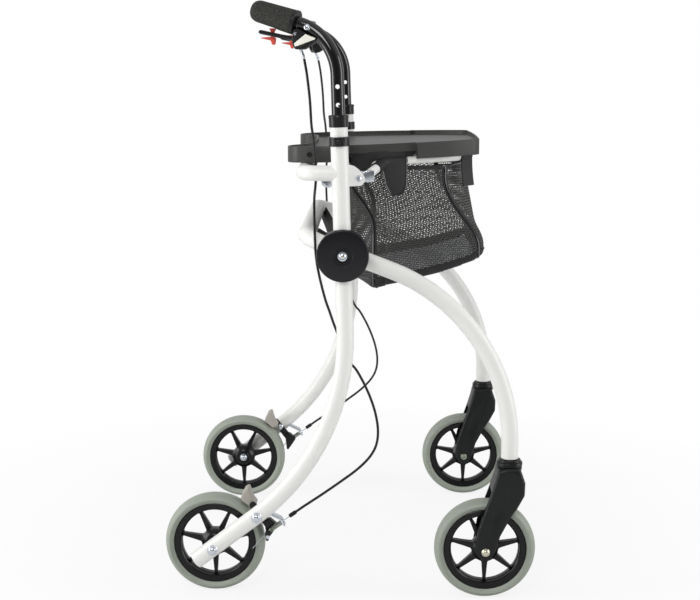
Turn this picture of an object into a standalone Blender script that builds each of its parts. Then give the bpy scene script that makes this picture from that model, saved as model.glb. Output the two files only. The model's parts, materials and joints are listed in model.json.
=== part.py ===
# Indoor rollator with a tray, a mesh basket, swivelling front wheels and cable brakes.
# Everything is in metres. X points forward, Y to the left of the user and Z up.
# The origin lies on the floor, midway between the axles, on the plane of symmetry.
import math

import bmesh
import bpy
from mathutils import Matrix, Vector

GAP = 0.0003            # clearance between pieces that touch
FINE = 10               # sides of the large tubes
SMALL = 8               # sides of bolts and pins

# frame tubes
TUBE_R = 0.0125
TUBE_WALL = 0.0015
CROSS_R = 0.011
CROSS_WALL = 0.0015
LOOP_R = 0.0065
LOOP_WALL = 0.001
HANDLE_R = 0.0095
HANDLE_WALL = 0.0015

# rear legs
LEG_Y = 0.255
REAR_AXLE = (-0.2015, 0.075)
LEG_SLOPE = math.radians(37.6)
LEG_TAIL = 0.033
LEG_STRAIGHT = 0.080
LEG_BEND_R = 0.341
LEAN = math.radians(1.73)
LEG_TOP_Z = 0.708

# pivot of the front frame
DISC_R = 0.0375
DISC_SEAT = 0.004        # the disc's inner face beyond the plane of the leg's axis
DISC_DEEP = 0.016
DISC_IN = LEG_Y + DISC_SEAT
DISC_OUT = DISC_IN + DISC_DEEP
PIVOT_BOLT_R = 0.004

# front frame
FRAME_IN_TOP = 0.0270        # inboard of the leg's plane, at the hinge and at the caster
FRAME_IN_LOW = 0.0095
FRAME_Y_TOP = LEG_Y - FRAME_IN_TOP
FRAME_Y_LOW = LEG_Y - FRAME_IN_LOW
FRAME_SLOPE = math.radians(21.0)
FRAME_BACK = 0.058
FRAME_BEND_R = 0.270
FRAME_CORNER_R = 0.045
FRAME_LOW_Z = 0.213
FRAME_STRAIGHT_Z = 0.2355        # the tube is straight and upright from its end to here
FRAME_PLUG = 0.012

# wheels and casters
WHEEL_R = 0.075
TYRE_W = 0.030
RIM_R = 0.0615
OPENING_R = 0.0525
HUB_R = 0.0155
HUB_W = 0.030
RIM_W = 0.024
SPOKE_W = 0.009
SPOKES = 7
WHEEL_SIDES = 20
FLAT = math.cos(math.pi / WHEEL_SIDES)
REAR_WHEEL_IN = 0.031
REAR_WHEEL_Y = LEG_Y - REAR_WHEEL_IN
FRONT_AXLE = (0.2015, 0.075)
CASTER_X = 0.236
AXLE_R = 0.004
FORK_IN = 0.0173
FORK_OUT = 0.0245
FORK_CAP_R = 0.019
FORK_CAP_Z = 0.2115
STEM_R = 0.006
STEM_LOW_Z = 0.182
STEM_TOP_Z = 0.246

# handles
HANDLE_LOW_Z = 0.578
HANDLE_CORNER_Z = 0.82285      # where the grip's axis meets the upright's
HANDLE_BEND_R = 0.076
GRIP_YAW = math.radians(18.0)
GRIP_RISE = math.radians(16.2)
GRIP_AHEAD = 0.0599      # the grip's front end, from that corner
GRIP_RING = 0.005
GRIP_LEN = 0.071
GRIP_R_FRONT = 0.0168
GRIP_R_REAR = 0.0155
HANDLE_IN_GRIP = 0.0595
HOLE_PITCH = 0.0254
HOLE_R = 0.00325
PIN_BELOW = 0.0325           # of the button, below the mouth of the leg
PIN_Z = LEG_TOP_Z - PIN_BELOW
COLLAR_LONG = 0.0169
COLLAR_LIP = 0.0045          # of which above the mouth of the leg
COLLAR_TOP_Z = LEG_TOP_Z + COLLAR_LIP
COLLAR_LOW_Z = COLLAR_TOP_Z - COLLAR_LONG
COLLAR_R = 0.0143
BAND_DEEP = 0.0130
BAND_LOW_Z = PIN_Z - BAND_DEEP / 2.0
BAND_TOP_Z = PIN_Z + BAND_DEEP / 2.0
BAND_R = 0.0145
BUTTON_R = 0.0036
BOSS_OUT = 0.0180
BUTTON_SEAT = 0.0162
BUTTON_OUT = 0.0192
PIN_R = 0.0026

# brake levers, in the plane of each grip: distance back from the handle's corner, height above it
BOLT_TURN = math.radians(61.0)
BOLT_R = 0.003
BRACKET_HALF = 0.0125
SLOT_HALF = 0.0058
LEVER_HALF = 0.005
LEVER_PIN = (0.0556, 0.0015)
LEVER_PIN_R = 0.0025
LOCK_PIN = (0.0955, 0.0017)
LOCK_PIN_R = 0.0011
LOCK_WIDE = 0.0046
BARREL_TOP = (0.0518, -0.0168)
BARREL_LOW = (0.0471, -0.0303)
BARREL_OUT = 0.003

# brakes at the rear wheels
BRAKE_BOLT_DIST = 0.083
BRAKE_BOLT_R = 0.003
BRAKE_BAR_GAP = 0.0023
BRAKE_BAR_THICK = 0.0040
BRAKE_BAR_OUT = LEG_Y - TUBE_R - BRAKE_BAR_GAP
BRAKE_BAR_IN = BRAKE_BAR_OUT - BRAKE_BAR_THICK
CABLE_IN = 0.009
CABLE_Y = LEG_Y - CABLE_IN
CABLE_R = 0.0023
WIRE_R = 0.0008
SPRING_R = 0.0032
SPRING_WIRE_R = 0.00055
SPRING_CURLS = 6
SPRING_STEP = 8

# tray
TRAY_TOP_Z = 0.6675
TRAY_RISE = 0.030
TRAY_DEEP = 0.0235
TRAY_SHALLOW = 0.0125
TRAY_CUT = (-0.001, 0.097)
TRAY_WALL = 0.0025
TRAY_FLOOR = 0.0075

# support loop and basket
SCREW_Z = 0.6237
SCREW_AHEAD = 0.0255     # the support's screw ahead of the upright's axis
SCREW_R = 0.0025
GUSSET_HALF = 0.0015
LINK_WIDE = 0.0120
LOOP_FRONT = 0.1760
CLOTH = 0.0022
BASKET_TOP_Z = 0.634
BASKET_FLOOR_Z = 0.455
BASKET_FLOOR_RISE = 0.20

SIDES = (("right", -1.0), ("left", 1.0))
MATERIALS = {
    "white_tube": ((0.86, 0.87, 0.84), 0.0, 0.30),
    "black_tube": ((0.012, 0.012, 0.013), 0.0, 0.12),
    "black_plastic": ((0.022, 0.023, 0.025), 0.0, 0.45),
    "foam": ((0.045, 0.046, 0.042), 0.0, 0.90),
    "tyre": ((0.36, 0.40, 0.33), 0.0, 0.60),
    "steel": ((0.62, 0.63, 0.65), 1.0, 0.30),
    "red_plastic": ((0.55, 0.08, 0.06), 0.0, 0.40),
    "shoe_rubber": ((0.36, 0.33, 0.33), 0.0, 0.75),
    "mesh_cloth": ((0.020, 0.020, 0.021), 0.0, 0.95),
    "webbing": ((0.016, 0.016, 0.017), 0.0, 0.90),
}


def material(slot):
    found = bpy.data.materials.get(slot)
    if found:
        return found
    color, metal, rough = MATERIALS[slot]
    made = bpy.data.materials.new(slot)
    made.use_nodes = True
    shader = made.node_tree.nodes["Principled BSDF"]
    shader.inputs["Base Color"].default_value = (*color, 1.0)
    shader.inputs["Metallic"].default_value = metal
    shader.inputs["Roughness"].default_value = rough
    made.diffuse_color = (*color, 1.0)
    return made


def finish(bm, name, slot, smooth=True):
    """Turn a bmesh into a named object with outward normals."""
    bmesh.ops.remove_doubles(bm, verts=bm.verts, dist=0.00001)
    bmesh.ops.recalc_face_normals(bm, faces=bm.faces)
    mesh = bpy.data.meshes.new(name)
    bm.to_mesh(mesh)
    bm.free()
    obj = bpy.data.objects.new(name, mesh)
    bpy.context.collection.objects.link(obj)
    if slot:
        mesh.materials.append(material(slot))
    shade(obj, smooth)
    return obj


def shade(obj, smooth=True):
    """Smooth faces, with every edge over 40 degrees kept sharp."""
    mesh = obj.data
    bm = bmesh.new()
    bm.from_mesh(mesh)
    for face in bm.faces:
        face.smooth = smooth
    for edge in bm.edges:
        if len(edge.link_faces) == 2:
            edge.smooth = edge.calc_face_angle(0.0) < math.radians(40.0)
    bm.to_mesh(mesh)
    bm.free()


def frames(points):
    """Tangent and two cross directions at each point, carried along without twist."""
    count = len(points)
    tangents = []
    for i in range(count):
        ahead = points[min(i + 1, count - 1)]
        behind = points[max(i - 1, 0)]
        here = points[i]
        along = Vector((0.0, 0.0, 0.0))
        if (ahead - here).length > 1e-9:
            along += (ahead - here).normalized()
        if (here - behind).length > 1e-9:
            along += (here - behind).normalized()
        tangents.append(along.normalized())
    start = Vector((0.0, 1.0, 0.0))
    if abs(start.dot(tangents[0])) > 0.9:
        start = Vector((0.0, 0.0, 1.0))
    cross = tangents[0].cross(start).normalized()
    result = []
    for i in range(count):
        if i:
            turn = tangents[i - 1].rotation_difference(tangents[i])
            cross = (turn @ cross).normalized()
        cross = (cross - tangents[i] * cross.dot(tangents[i])).normalized()
        result.append((tangents[i], cross, tangents[i].cross(cross)))
    return result


def sweep(name, points, outer, inner, sides, slot):
    """A round tube through the points; radii are numbers or one per point."""
    count = len(points)
    outer = outer if isinstance(outer, list) else [outer] * count
    if inner is not None and not isinstance(inner, list):
        inner = [inner] * count
    bm = bmesh.new()
    skins = []
    for radii in (outer, inner):
        if radii is None:
            continue
        rings = []
        for point, radius, (_, a, b) in zip(points, radii, frames(points)):
            ring = []
            for k in range(sides):
                turn = 2.0 * math.pi * (k + 0.5) / sides
                spot = point + a * (radius * math.cos(turn)) + b * (radius * math.sin(turn))
                ring.append(bm.verts.new(spot))
            rings.append(ring)
        for first, second in zip(rings, rings[1:]):
            for k in range(sides):
                n = (k + 1) % sides
                bm.faces.new((first[k], first[n], second[n], second[k]))
        skins.append(rings)
    for end in (0, -1):
        if len(skins) == 1:
            bm.faces.new(skins[0][end])
        else:
            for k in range(sides):
                n = (k + 1) % sides
                bm.faces.new((skins[0][end][k], skins[0][end][n], skins[1][end][n], skins[1][end][k]))
    return finish(bm, name, slot)


def revolve(name, profile, origin, axis, sides, slot):
    """Turn a closed outline of (radius, distance along the axis) round the axis."""
    axis = Vector(axis).normalized()
    side = Vector((1.0, 0.0, 0.0))
    if abs(side.dot(axis)) > 0.9:
        side = Vector((0.0, 0.0, 1.0))
    a = (side - axis * side.dot(axis)).normalized()
    b = axis.cross(a)
    bm = bmesh.new()
    rings = []
    for radius, along in profile:
        centre = Vector(origin) + axis * along
        if radius < 1e-7:
            rings.append([bm.verts.new(centre)])
            continue
        ring = []
        for k in range(sides):
            turn = 2.0 * math.pi * (k + 0.5) / sides
            spot = centre + a * (radius * math.cos(turn)) + b * (radius * math.sin(turn))
            ring.append(bm.verts.new(spot))
        rings.append(ring)
    for i in range(len(rings)):
        first = rings[i]
        second = rings[(i + 1) % len(rings)]
        if len(first) == 1 and len(second) == 1:
            continue
        for k in range(sides):
            n = (k + 1) % sides
            if len(first) == 1:
                bm.faces.new((first[0], second[n], second[k]))
            elif len(second) == 1:
                bm.faces.new((first[k], first[n], second[0]))
            else:
                bm.faces.new((first[k], first[n], second[n], second[k]))
    return finish(bm, name, slot)


def prism(name, outline, place, low, high, slot, smooth=False):
    """Extrude an outline; place(u, v, w) gives the point in space."""
    bm = bmesh.new()
    rings = []
    for w in (low, high):
        rings.append([bm.verts.new(place(u, v, w)) for u, v in outline])
    count = len(outline)
    for k in range(count):
        n = (k + 1) % count
        bm.faces.new((rings[0][k], rings[0][n], rings[1][n], rings[1][k]))
    bm.faces.new(rings[0])
    bm.faces.new(rings[1])
    return finish(bm, name, slot, smooth)


def rod(name, start, end, radius, sides, slot):
    start = Vector(start)
    end = Vector(end)
    length = (end - start).length
    profile = [(0.0, 0.0), (radius, 0.0), (radius, length), (0.0, length)]
    return revolve(name, profile, start, end - start, sides, slot)


def stepped(name, steps, origin, axis, sides, slot):
    """A solid turned piece from (radius, from, to) steps along the axis."""
    profile = [(0.0, steps[0][1])]
    for radius, low, high in steps:
        profile.append((radius, low))
        profile.append((radius, high))
    profile.append((0.0, steps[-1][2]))
    return revolve(name, profile, origin, axis, sides, slot)


def combine(obj, others, operation):
    """Join or cut exactly, then drop the helper solids."""
    for other in others:
        other.hide_render = True
        other.display_type = "WIRE"
        step = obj.modifiers.new("step", "BOOLEAN")
        step.operation = operation
        step.solver = "EXACT"
        step.object = other
    bpy.context.view_layer.update()
    graph = bpy.context.evaluated_depsgraph_get()
    mesh = bpy.data.meshes.new_from_object(obj.evaluated_get(graph))
    slot = obj.data.materials[0]
    obj.modifiers.clear()
    obj.data = mesh
    mesh.materials.clear()
    mesh.materials.append(slot)
    for polygon in mesh.polygons:
        polygon.material_index = 0
    for other in others:
        bpy.data.objects.remove(other, do_unlink=True)
    bm = bmesh.new()
    bm.from_mesh(mesh)
    bmesh.ops.remove_doubles(bm, verts=bm.verts, dist=0.00002)
    bmesh.ops.dissolve_degenerate(bm, edges=bm.edges, dist=0.00001)
    bm.to_mesh(mesh)
    bm.free()
    shade(obj)
    return obj


def clear(radius, sides):
    """Radius of a faceted hole that leaves the gap round a shaft, however its facets lie."""
    return (radius + GAP) / math.cos(math.pi / sides)


def set_origin(obj, point):
    """Put the origin of a finished piece on its joint axis."""
    point = Vector(point)
    obj.data.transform(Matrix.Translation(-point))
    obj.location = point


def arc_points(start, tangent, normal, radius, turn, steps):
    """Points after the start of an arc that turns from the tangent towards the normal."""
    points = []
    for i in range(1, steps + 1):
        angle = turn * i / steps
        ahead = radius * math.sin(angle)
        aside = radius * (1.0 - math.cos(angle))
        points.append(start + tangent * ahead + normal * aside)
    return points


def rounded(corners, radii, step):
    """A path through corners, each rounded by an arc with points every step radians."""
    points = [corners[0]]
    for i in range(1, len(corners) - 1):
        here = corners[i]
        if radii[i - 1] <= 0.0:
            points.append(here)
            continue
        back = (corners[i - 1] - here).normalized()
        ahead = (corners[i + 1] - here).normalized()
        turn = math.pi - back.angle(ahead)
        reach = radii[i - 1] * math.tan(turn / 2.0)
        first = here + back * reach
        tangent = -back
        normal = (ahead - tangent * ahead.dot(tangent)).normalized()
        points.append(first)
        points += arc_points(first, tangent, normal, radii[i - 1], turn, max(2, math.ceil(turn / step)))
    points.append(corners[-1])
    return points


def smooth_path(route, spacing):
    """Points at even spacing on a smooth curve through the route."""
    fine = []
    padded = [route[0] * 2.0 - route[1]] + route + [route[-1] * 2.0 - route[-2]]
    for i in range(1, len(padded) - 2):
        p0, p1, p2, p3 = padded[i - 1:i + 3]
        for k in range(24):
            t = k / 24.0
            point = (p1 * 2.0 + (p2 - p0) * t + (p0 * 2.0 - p1 * 5.0 + p2 * 4.0 - p3) * t ** 2
                     + (p1 * 3.0 - p0 - p2 * 3.0 + p3) * t ** 3) * 0.5
            fine.append(point)
    fine.append(route[-1])
    total = sum((b - a).length for a, b in zip(fine, fine[1:]))
    count = max(2, round(total / spacing))
    step = total / count
    points = [fine[0]]
    walked = 0.0
    target = step
    for a, b in zip(fine, fine[1:]):
        piece = (b - a).length
        while piece > 0.0 and walked + piece >= target - 1e-9 and len(points) < count:
            points.append(a.lerp(b, (target - walked) / piece))
            target += step
        walked += piece
    points.append(fine[-1])
    return points


def cord(name, points, radius, resolution, slot, thin_from=None, thin=1.0):
    """A solid cord from a polyline; from one point on it may be thinner."""
    curve = bpy.data.curves.new(name, "CURVE")
    curve.dimensions = "3D"
    curve.bevel_depth = radius
    curve.bevel_resolution = resolution
    curve.use_fill_caps = True
    spline = curve.splines.new("POLY")
    spline.points.add(len(points) - 1)
    for i, point in enumerate(points):
        spline.points[i].co = (*point, 1.0)
        spline.points[i].radius = thin if thin_from is not None and i >= thin_from else 1.0
    temp = bpy.data.objects.new(name + "_path", curve)
    bpy.context.collection.objects.link(temp)
    bpy.context.view_layer.update()
    graph = bpy.context.evaluated_depsgraph_get()
    mesh = bpy.data.meshes.new_from_object(temp.evaluated_get(graph))
    bpy.data.objects.remove(temp, do_unlink=True)
    bm = bmesh.new()
    bm.from_mesh(mesh)
    return finish(bm, name, slot)


def upright(side, z):
    """Point on the axis of an upright at a height."""
    end = leg_bend_end()
    return Vector((end[0] - (z - end[1]) * math.tan(LEAN), side * LEG_Y, z))


def post(side, low, high):
    """A cutter that leaves the clearance round an upright."""
    return rod("post", upright(side, low), upright(side, high), clear(TUBE_R, 12), 12, "steel")


def leg_bend_end():
    x = REAR_AXLE[0] + LEG_STRAIGHT * math.cos(LEG_SLOPE) - LEG_BEND_R * math.sin(LEG_SLOPE)
    z = REAR_AXLE[1] + LEG_STRAIGHT * math.sin(LEG_SLOPE) + LEG_BEND_R * math.cos(LEG_SLOPE)
    last = math.pi / 2.0 + LEAN
    return x + LEG_BEND_R * math.sin(last), z - LEG_BEND_R * math.cos(last)


def pivot_point():
    """The hinge between the frames: on the upright's axis, where the front frame's slope meets it."""
    x, z = leg_bend_end()
    lean = math.tan(LEAN)
    slope = math.tan(FRAME_SLOPE)
    bend = FRAME_BEND_R * math.tan((math.pi / 2.0 - FRAME_SLOPE) / 2.0)
    high = (FRAME_STRAIGHT_Z + bend + (CASTER_X - x - z * lean) * slope) / (1.0 - lean * slope)
    return x - (high - z) * lean, high


PIVOT = pivot_point()
SCREW = (upright(1.0, SCREW_Z).x + SCREW_AHEAD, SCREW_Z)


def leg_point(side, along, off=0.0):
    """Point on the straight lower leg; off is the distance below and ahead of its axis."""
    x = REAR_AXLE[0] + along * math.cos(LEG_SLOPE) + off * math.sin(LEG_SLOPE)
    z = REAR_AXLE[1] + along * math.sin(LEG_SLOPE) - off * math.cos(LEG_SLOPE)
    return Vector((x, side * LEG_Y, z))


def lean_axis():
    return Vector((-math.sin(LEAN), 0.0, math.cos(LEAN)))


def grip_plane(side, h, z, out=0.0):
    """Point from the distance back from the handle's corner, the height above it and the way outboard."""
    base = upright(side, HANDLE_CORNER_Z)
    x = base.x - h * math.cos(GRIP_YAW) - out * math.sin(GRIP_YAW)
    y = base.y - side * h * math.sin(GRIP_YAW) + side * out * math.cos(GRIP_YAW)
    return Vector((x, y, HANDLE_CORNER_Z + z))


def handle_bend(side):
    """Start, tangent, normal, turn, end and end direction of the handle's bend."""
    first = lean_axis()
    back = Vector((-math.cos(GRIP_YAW), -side * math.sin(GRIP_YAW), 0.0))
    last = back * math.cos(GRIP_RISE) + Vector((0.0, 0.0, math.sin(GRIP_RISE)))
    turn = first.angle(last)
    normal = (last - first * last.dot(first)).normalized()
    start = upright(side, HANDLE_CORNER_Z) - first * (HANDLE_BEND_R * math.tan(turn / 2.0))
    end = start + first * (HANDLE_BEND_R * math.sin(turn)) + normal * (HANDLE_BEND_R * (1.0 - math.cos(turn)))
    return start, first, normal, turn, end, last


def build_leg(word, side):
    start = leg_point(side, -LEG_TAIL)
    bend = leg_point(side, LEG_STRAIGHT)
    tangent = Vector((math.cos(LEG_SLOPE), 0.0, math.sin(LEG_SLOPE)))
    normal = Vector((-math.sin(LEG_SLOPE), 0.0, math.cos(LEG_SLOPE)))
    turn = math.pi / 2.0 + LEAN - LEG_SLOPE
    points = [start, bend] + arc_points(bend, tangent, normal, LEG_BEND_R, turn, 5)
    points.append(upright(side, LEG_TOP_Z))
    leg = sweep("rear_leg_" + word, points, TUBE_R, TUBE_R - TUBE_WALL, FINE, "white_tube")
    gusset = [(-0.0147, 0.0199), (-0.0060, 0.0173), (0.0005, 0.0125), (0.0065, 0.0061), (0.0093, 0.0003),
              (0.0091, -0.0047), (0.0045, -0.0107), (-0.0140, -0.0113)]
    plate = prism("gusset", gusset, lambda u, v, w: Vector((SCREW[0] + u, side * w, SCREW[1] + v)),
                  LEG_Y - GUSSET_HALF, LEG_Y + GUSSET_HALF, "white_tube")
    combine(leg, [plate], "UNION")
    holes = []
    for (x, z), radius, low, high in (
            (REAR_AXLE, AXLE_R, -0.03, 0.03),
            (PIVOT, PIVOT_BOLT_R, -0.03, 0.03),
            (leg_point(side, BRAKE_BOLT_DIST).xz, BRAKE_BOLT_R, -0.03, 0.03),
            (SCREW, SCREW_R, -0.006, 0.006),
            (upright(side, PIN_Z).xz, PIN_R, 0.003, 0.03)):
        ends = [(x, side * (LEG_Y + reach), z) for reach in (low, high)]
        holes.append(rod("hole", *ends, clear(radius, SMALL), SMALL, "steel"))
    combine(leg, holes, "DIFFERENCE")
    return leg


def build_crossbar():
    z = TRAY_TOP_Z - 0.065 * TRAY_RISE - TRAY_DEEP - GAP - CROSS_R
    x = -0.065
    corners = []
    for side in (-1.0, 1.0):
        ends = [Vector((upright(side, z).x, side * LEG_Y, z)), Vector((x, side * LEG_Y, z))]
        corners += ends if side < 0 else ends[::-1]
    points = rounded(corners, [0.035, 0.035], math.radians(30.0))
    bar = sweep("rear_crossbar", points, CROSS_R, CROSS_R - CROSS_WALL, FINE, "white_tube")
    cutters = []
    for side in (-1.0, 1.0):
        cutters.append(post(side, z - 0.04, z + 0.04))
    return combine(bar, cutters, "DIFFERENCE")


def frame_path(side):
    """Centre line of one side of the front frame, from its corner to the caster."""
    along = Vector((math.cos(FRAME_SLOPE), 0.0, -math.sin(FRAME_SLOPE)))
    pivot = Vector((PIVOT[0], side * FRAME_Y_TOP, PIVOT[1]))
    down = Vector((0.0, 0.0, -1.0))
    normal = (down - along * down.dot(along)).normalized()
    turn = math.pi / 2.0 - FRAME_SLOPE
    reach = along.x * math.sin(turn) + normal.x * (1.0 - math.cos(turn))
    bend = pivot + along * ((CASTER_X - PIVOT[0] - FRAME_BEND_R * reach) / along.x)
    flat = [pivot + along * 0.020, bend]
    flat += arc_points(bend, along, normal, FRAME_BEND_R, turn, 6)
    length = 0.0
    lengths = [0.0]
    for a, b in zip(flat, flat[1:]):
        length += (b - a).length
        lengths.append(length)
    points = []
    for point, walked in zip(flat, lengths):
        t = walked / length
        t = t * t * (3.0 - 2.0 * t)
        y = side * (FRAME_Y_TOP + (FRAME_Y_LOW - FRAME_Y_TOP) * t)
        points.append(Vector((point.x, y, point.z)))
    last = points[-1]
    for z in (FRAME_LOW_Z + FRAME_PLUG + 0.0006, FRAME_LOW_Z + FRAME_PLUG, FRAME_LOW_Z):
        points.append(Vector((last.x, last.y, z)))
    return points


def build_front_frame():
    along = Vector((math.cos(FRAME_SLOPE), 0.0, -math.sin(FRAME_SLOPE)))
    corners = []
    for side in (-1.0, 1.0):
        pivot = Vector((PIVOT[0], side * FRAME_Y_TOP, PIVOT[1]))
        pair = [pivot + along * 0.010, pivot - along * FRAME_BACK]
        corners += pair if side < 0 else pair[::-1]
    middle = rounded(corners, [FRAME_CORNER_R, FRAME_CORNER_R], math.radians(30.0))
    right = frame_path(-1.0)
    left = frame_path(1.0)
    points = right[::-1] + middle + left
    bore = TUBE_R - TUBE_WALL
    inner = [bore] * len(points)
    for i in (0, 1, -1, -2):
        inner[i] = clear(STEM_R, FINE)
    frame = sweep("front_frame", points, TUBE_R, inner, FINE, "white_tube")
    holes = []
    for side in (-1.0, 1.0):
        ends = [(PIVOT[0], side * (FRAME_Y_TOP + reach), PIVOT[1]) for reach in (-0.03, 0.03)]
        holes.append(rod("hole", *ends, clear(PIVOT_BOLT_R, SMALL), SMALL, "steel"))
    return combine(frame, holes, "DIFFERENCE"), frame_path(-1.0)[-1].x


def build_handle(word, side):
    start, first, normal, turn, end, last = handle_bend(side)
    points = [upright(side, HANDLE_LOW_Z), start]
    points += arc_points(start, first, normal, HANDLE_BEND_R, turn, 8)
    grip_from = GRIP_AHEAD - HANDLE_BEND_R * math.tan(turn / 2.0)
    points.append(end + last * (grip_from + HANDLE_IN_GRIP))
    tube = sweep("handle_tube_" + word, points, HANDLE_R, HANDLE_R - HANDLE_WALL, FINE, "black_tube")
    holes = []
    for k in (-3, -2, 0, 2, 3):
        spot = upright(side, PIN_Z) + lean_axis() * (HOLE_PITCH * k)
        ends = [spot + Vector((0.0, side * reach, 0.0)) for reach in (-2.0 * HANDLE_R, 2.0 * HANDLE_R)]
        holes.append(rod("hole", *ends, HOLE_R, 6, "steel"))
    bolt = bolt_centre(side)
    out = grip_plane(side, 0.0, 0.0, 1.0) - grip_plane(side, 0.0, 0.0, 0.0)
    holes.append(rod("hole", bolt - out * 0.02, bolt + out * 0.02, clear(BOLT_R, SMALL), SMALL, "steel"))
    combine(tube, holes, "DIFFERENCE")
    bore = clear(HANDLE_R, 12)
    bottom = grip_from + HANDLE_IN_GRIP + GAP
    grip_to = grip_from + GRIP_LEN
    profile = [(bore, grip_from), (GRIP_R_FRONT + 0.0004, grip_from),
               (GRIP_R_FRONT + 0.0004, grip_from + GRIP_RING),
               (GRIP_R_FRONT, grip_from + GRIP_RING + 0.0008), (GRIP_R_REAR, grip_to - 0.0120),
               (GRIP_R_REAR - 0.003, grip_to - 0.0042), (GRIP_R_REAR - 0.008, grip_to - 0.0008),
               (0.0, grip_to), (0.0, bottom), (bore, bottom)]
    grip = revolve("grip_" + word, profile, end, last, 12, "foam")
    return tube, grip


def bolt_centre(side):
    start, first, normal, turn, end, last = handle_bend(side)
    return (start + first * (HANDLE_BEND_R * math.sin(BOLT_TURN))
            + normal * (HANDLE_BEND_R * (1.0 - math.cos(BOLT_TURN))))


def build_bracket(word, side):
    def place(u, v, w):
        return grip_plane(side, u, v, w)
    outline = [(0.0612, -0.0028), (0.0612, -0.0118), (0.0570, -0.0200), (0.0490, -0.0200), (0.0250, -0.0063),
               (0.0225, -0.0018), (0.0300, 0.0072), (0.0440, 0.0132), (0.0575, 0.0077)]
    bracket = prism("brake_bracket_" + word, outline, place, -BRACKET_HALF, BRACKET_HALF, "black_plastic")
    start, first, normal, turn, end, last = handle_bend(side)
    path = [start - first * 0.02, start] + arc_points(start, first, normal, HANDLE_BEND_R, turn, 8)
    path.append(end + last * 0.03)
    groove = sweep("groove", path, clear(HANDLE_R, FINE), None, FINE, "steel")
    top = [(0.070, 0.0022), (0.0560, 0.0096), (0.0480, 0.0062), (0.0465, -0.0148), (0.0530, -0.0173),
           (0.070, -0.0128)]
    slot = prism("slot", top, place, -SLOT_HALF, SLOT_HALF, "steel")
    ends = [place(*LEVER_PIN, reach) for reach in (-2.0 * BRACKET_HALF, 2.0 * BRACKET_HALF)]
    pin = rod("hole", *ends, clear(LEVER_PIN_R, SMALL), SMALL, "steel")
    combine(bracket, [groove, slot, pin], "DIFFERENCE")
    bolt = bolt_centre(side)
    out = (place(0.0, 0.0, 1.0) - place(0.0, 0.0, 0.0)).normalized()
    cheek = [(0.0300, 0.0022), (0.0330, 0.0152), (0.0400, 0.0172), (0.0470, 0.0142), (0.0480, 0.0062)]
    arm = prism("arm", cheek, place, -BRACKET_HALF, -HANDLE_R - 2.0 * GAP, "steel")
    head = HANDLE_R + GAP
    steps = [(BOLT_R, -BRACKET_HALF + 0.001, head), (0.0048, head, head + 0.0027),
             (0.0032, head + 0.0027, head + 0.0042)]
    shank = stepped("bolt", steps, bolt, out, SMALL, "steel")
    steps = [(0.0040, 0.0, 0.0040), (0.0033, 0.0040, 0.0100), (0.0028, 0.0100, 0.0165)]
    barrel = stepped("barrel", steps, *barrel_line(side), SMALL, "steel")
    combine(bracket, [arm, shank, barrel], "UNION")
    return bracket


def barrel_line(side):
    """Where the cable adjuster leaves the bracket, and the way it points."""
    top = grip_plane(side, *BARREL_TOP, BARREL_OUT)
    low = grip_plane(side, *BARREL_LOW, BARREL_OUT)
    return top, low - top


def build_lever(word, side):
    def place(u, v, w):
        return grip_plane(side, u, v, w)
    h, z = LEVER_PIN
    outline = [(h - 0.0040, z + 0.0008), (h - 0.0018, z + 0.0033), (h + 0.0016, z + 0.0033),
               (h + 0.0038, z + 0.0008), (h + 0.0050, z - 0.0034), (0.0800, 0.0010), (0.1120, 0.0075),
               (0.1148, 0.0064), (0.1150, 0.0034), (0.1125, 0.0017), (0.0800, -0.0048), (0.0600, -0.0088),
               (h - 0.0010, -0.0078), (h - 0.0048, z - 0.0050)]
    lever = prism("brake_lever_" + word, outline, place, -LEVER_HALF, LEVER_HALF, "black_tube")
    cutters = []
    for spot, radius in ((LEVER_PIN, LEVER_PIN_R), (LOCK_PIN, LOCK_PIN_R)):
        ends = [place(*spot, reach) for reach in (-2.0 * BRACKET_HALF, 2.0 * BRACKET_HALF)]
        cutters.append(rod("hole", *ends, clear(radius, SMALL), SMALL, "steel"))
    combine(lever, cutters, "DIFFERENCE")
    tab = [(0.0905, 0.0069), (0.0925, 0.0034), (0.0925, -0.0023), (0.0905, -0.0048), (0.0925, -0.0118),
           (0.0950, -0.0130), (0.0980, -0.0123), (0.0995, -0.0078), (0.1110, -0.0050), (0.1110, -0.0036),
           (0.0990, -0.0026), (0.0985, 0.0034), (0.0998, 0.0069)]
    near = -LEVER_HALF - GAP
    lock = prism("parking_lock_" + word, tab, place, near - LOCK_WIDE, near, "red_plastic")
    pin = rod("pin", place(*LOCK_PIN, near - 0.001), place(*LOCK_PIN, LEVER_HALF), LOCK_PIN_R, SMALL, "steel")
    combine(lock, [pin], "UNION")
    out = (place(0.0, 0.0, 1.0) - place(0.0, 0.0, 0.0)).normalized()
    reach = BRACKET_HALF + 0.0006
    head = LEVER_PIN_R + 0.0011
    steps = [(head, -reach - 0.0015, -reach), (LEVER_PIN_R, -reach, reach), (head, reach, reach + 0.0015)]
    pivot = stepped("lever_pin_" + word, steps, place(h, z, 0.0), out, SMALL, "steel")
    return lever, lock, pivot


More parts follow.
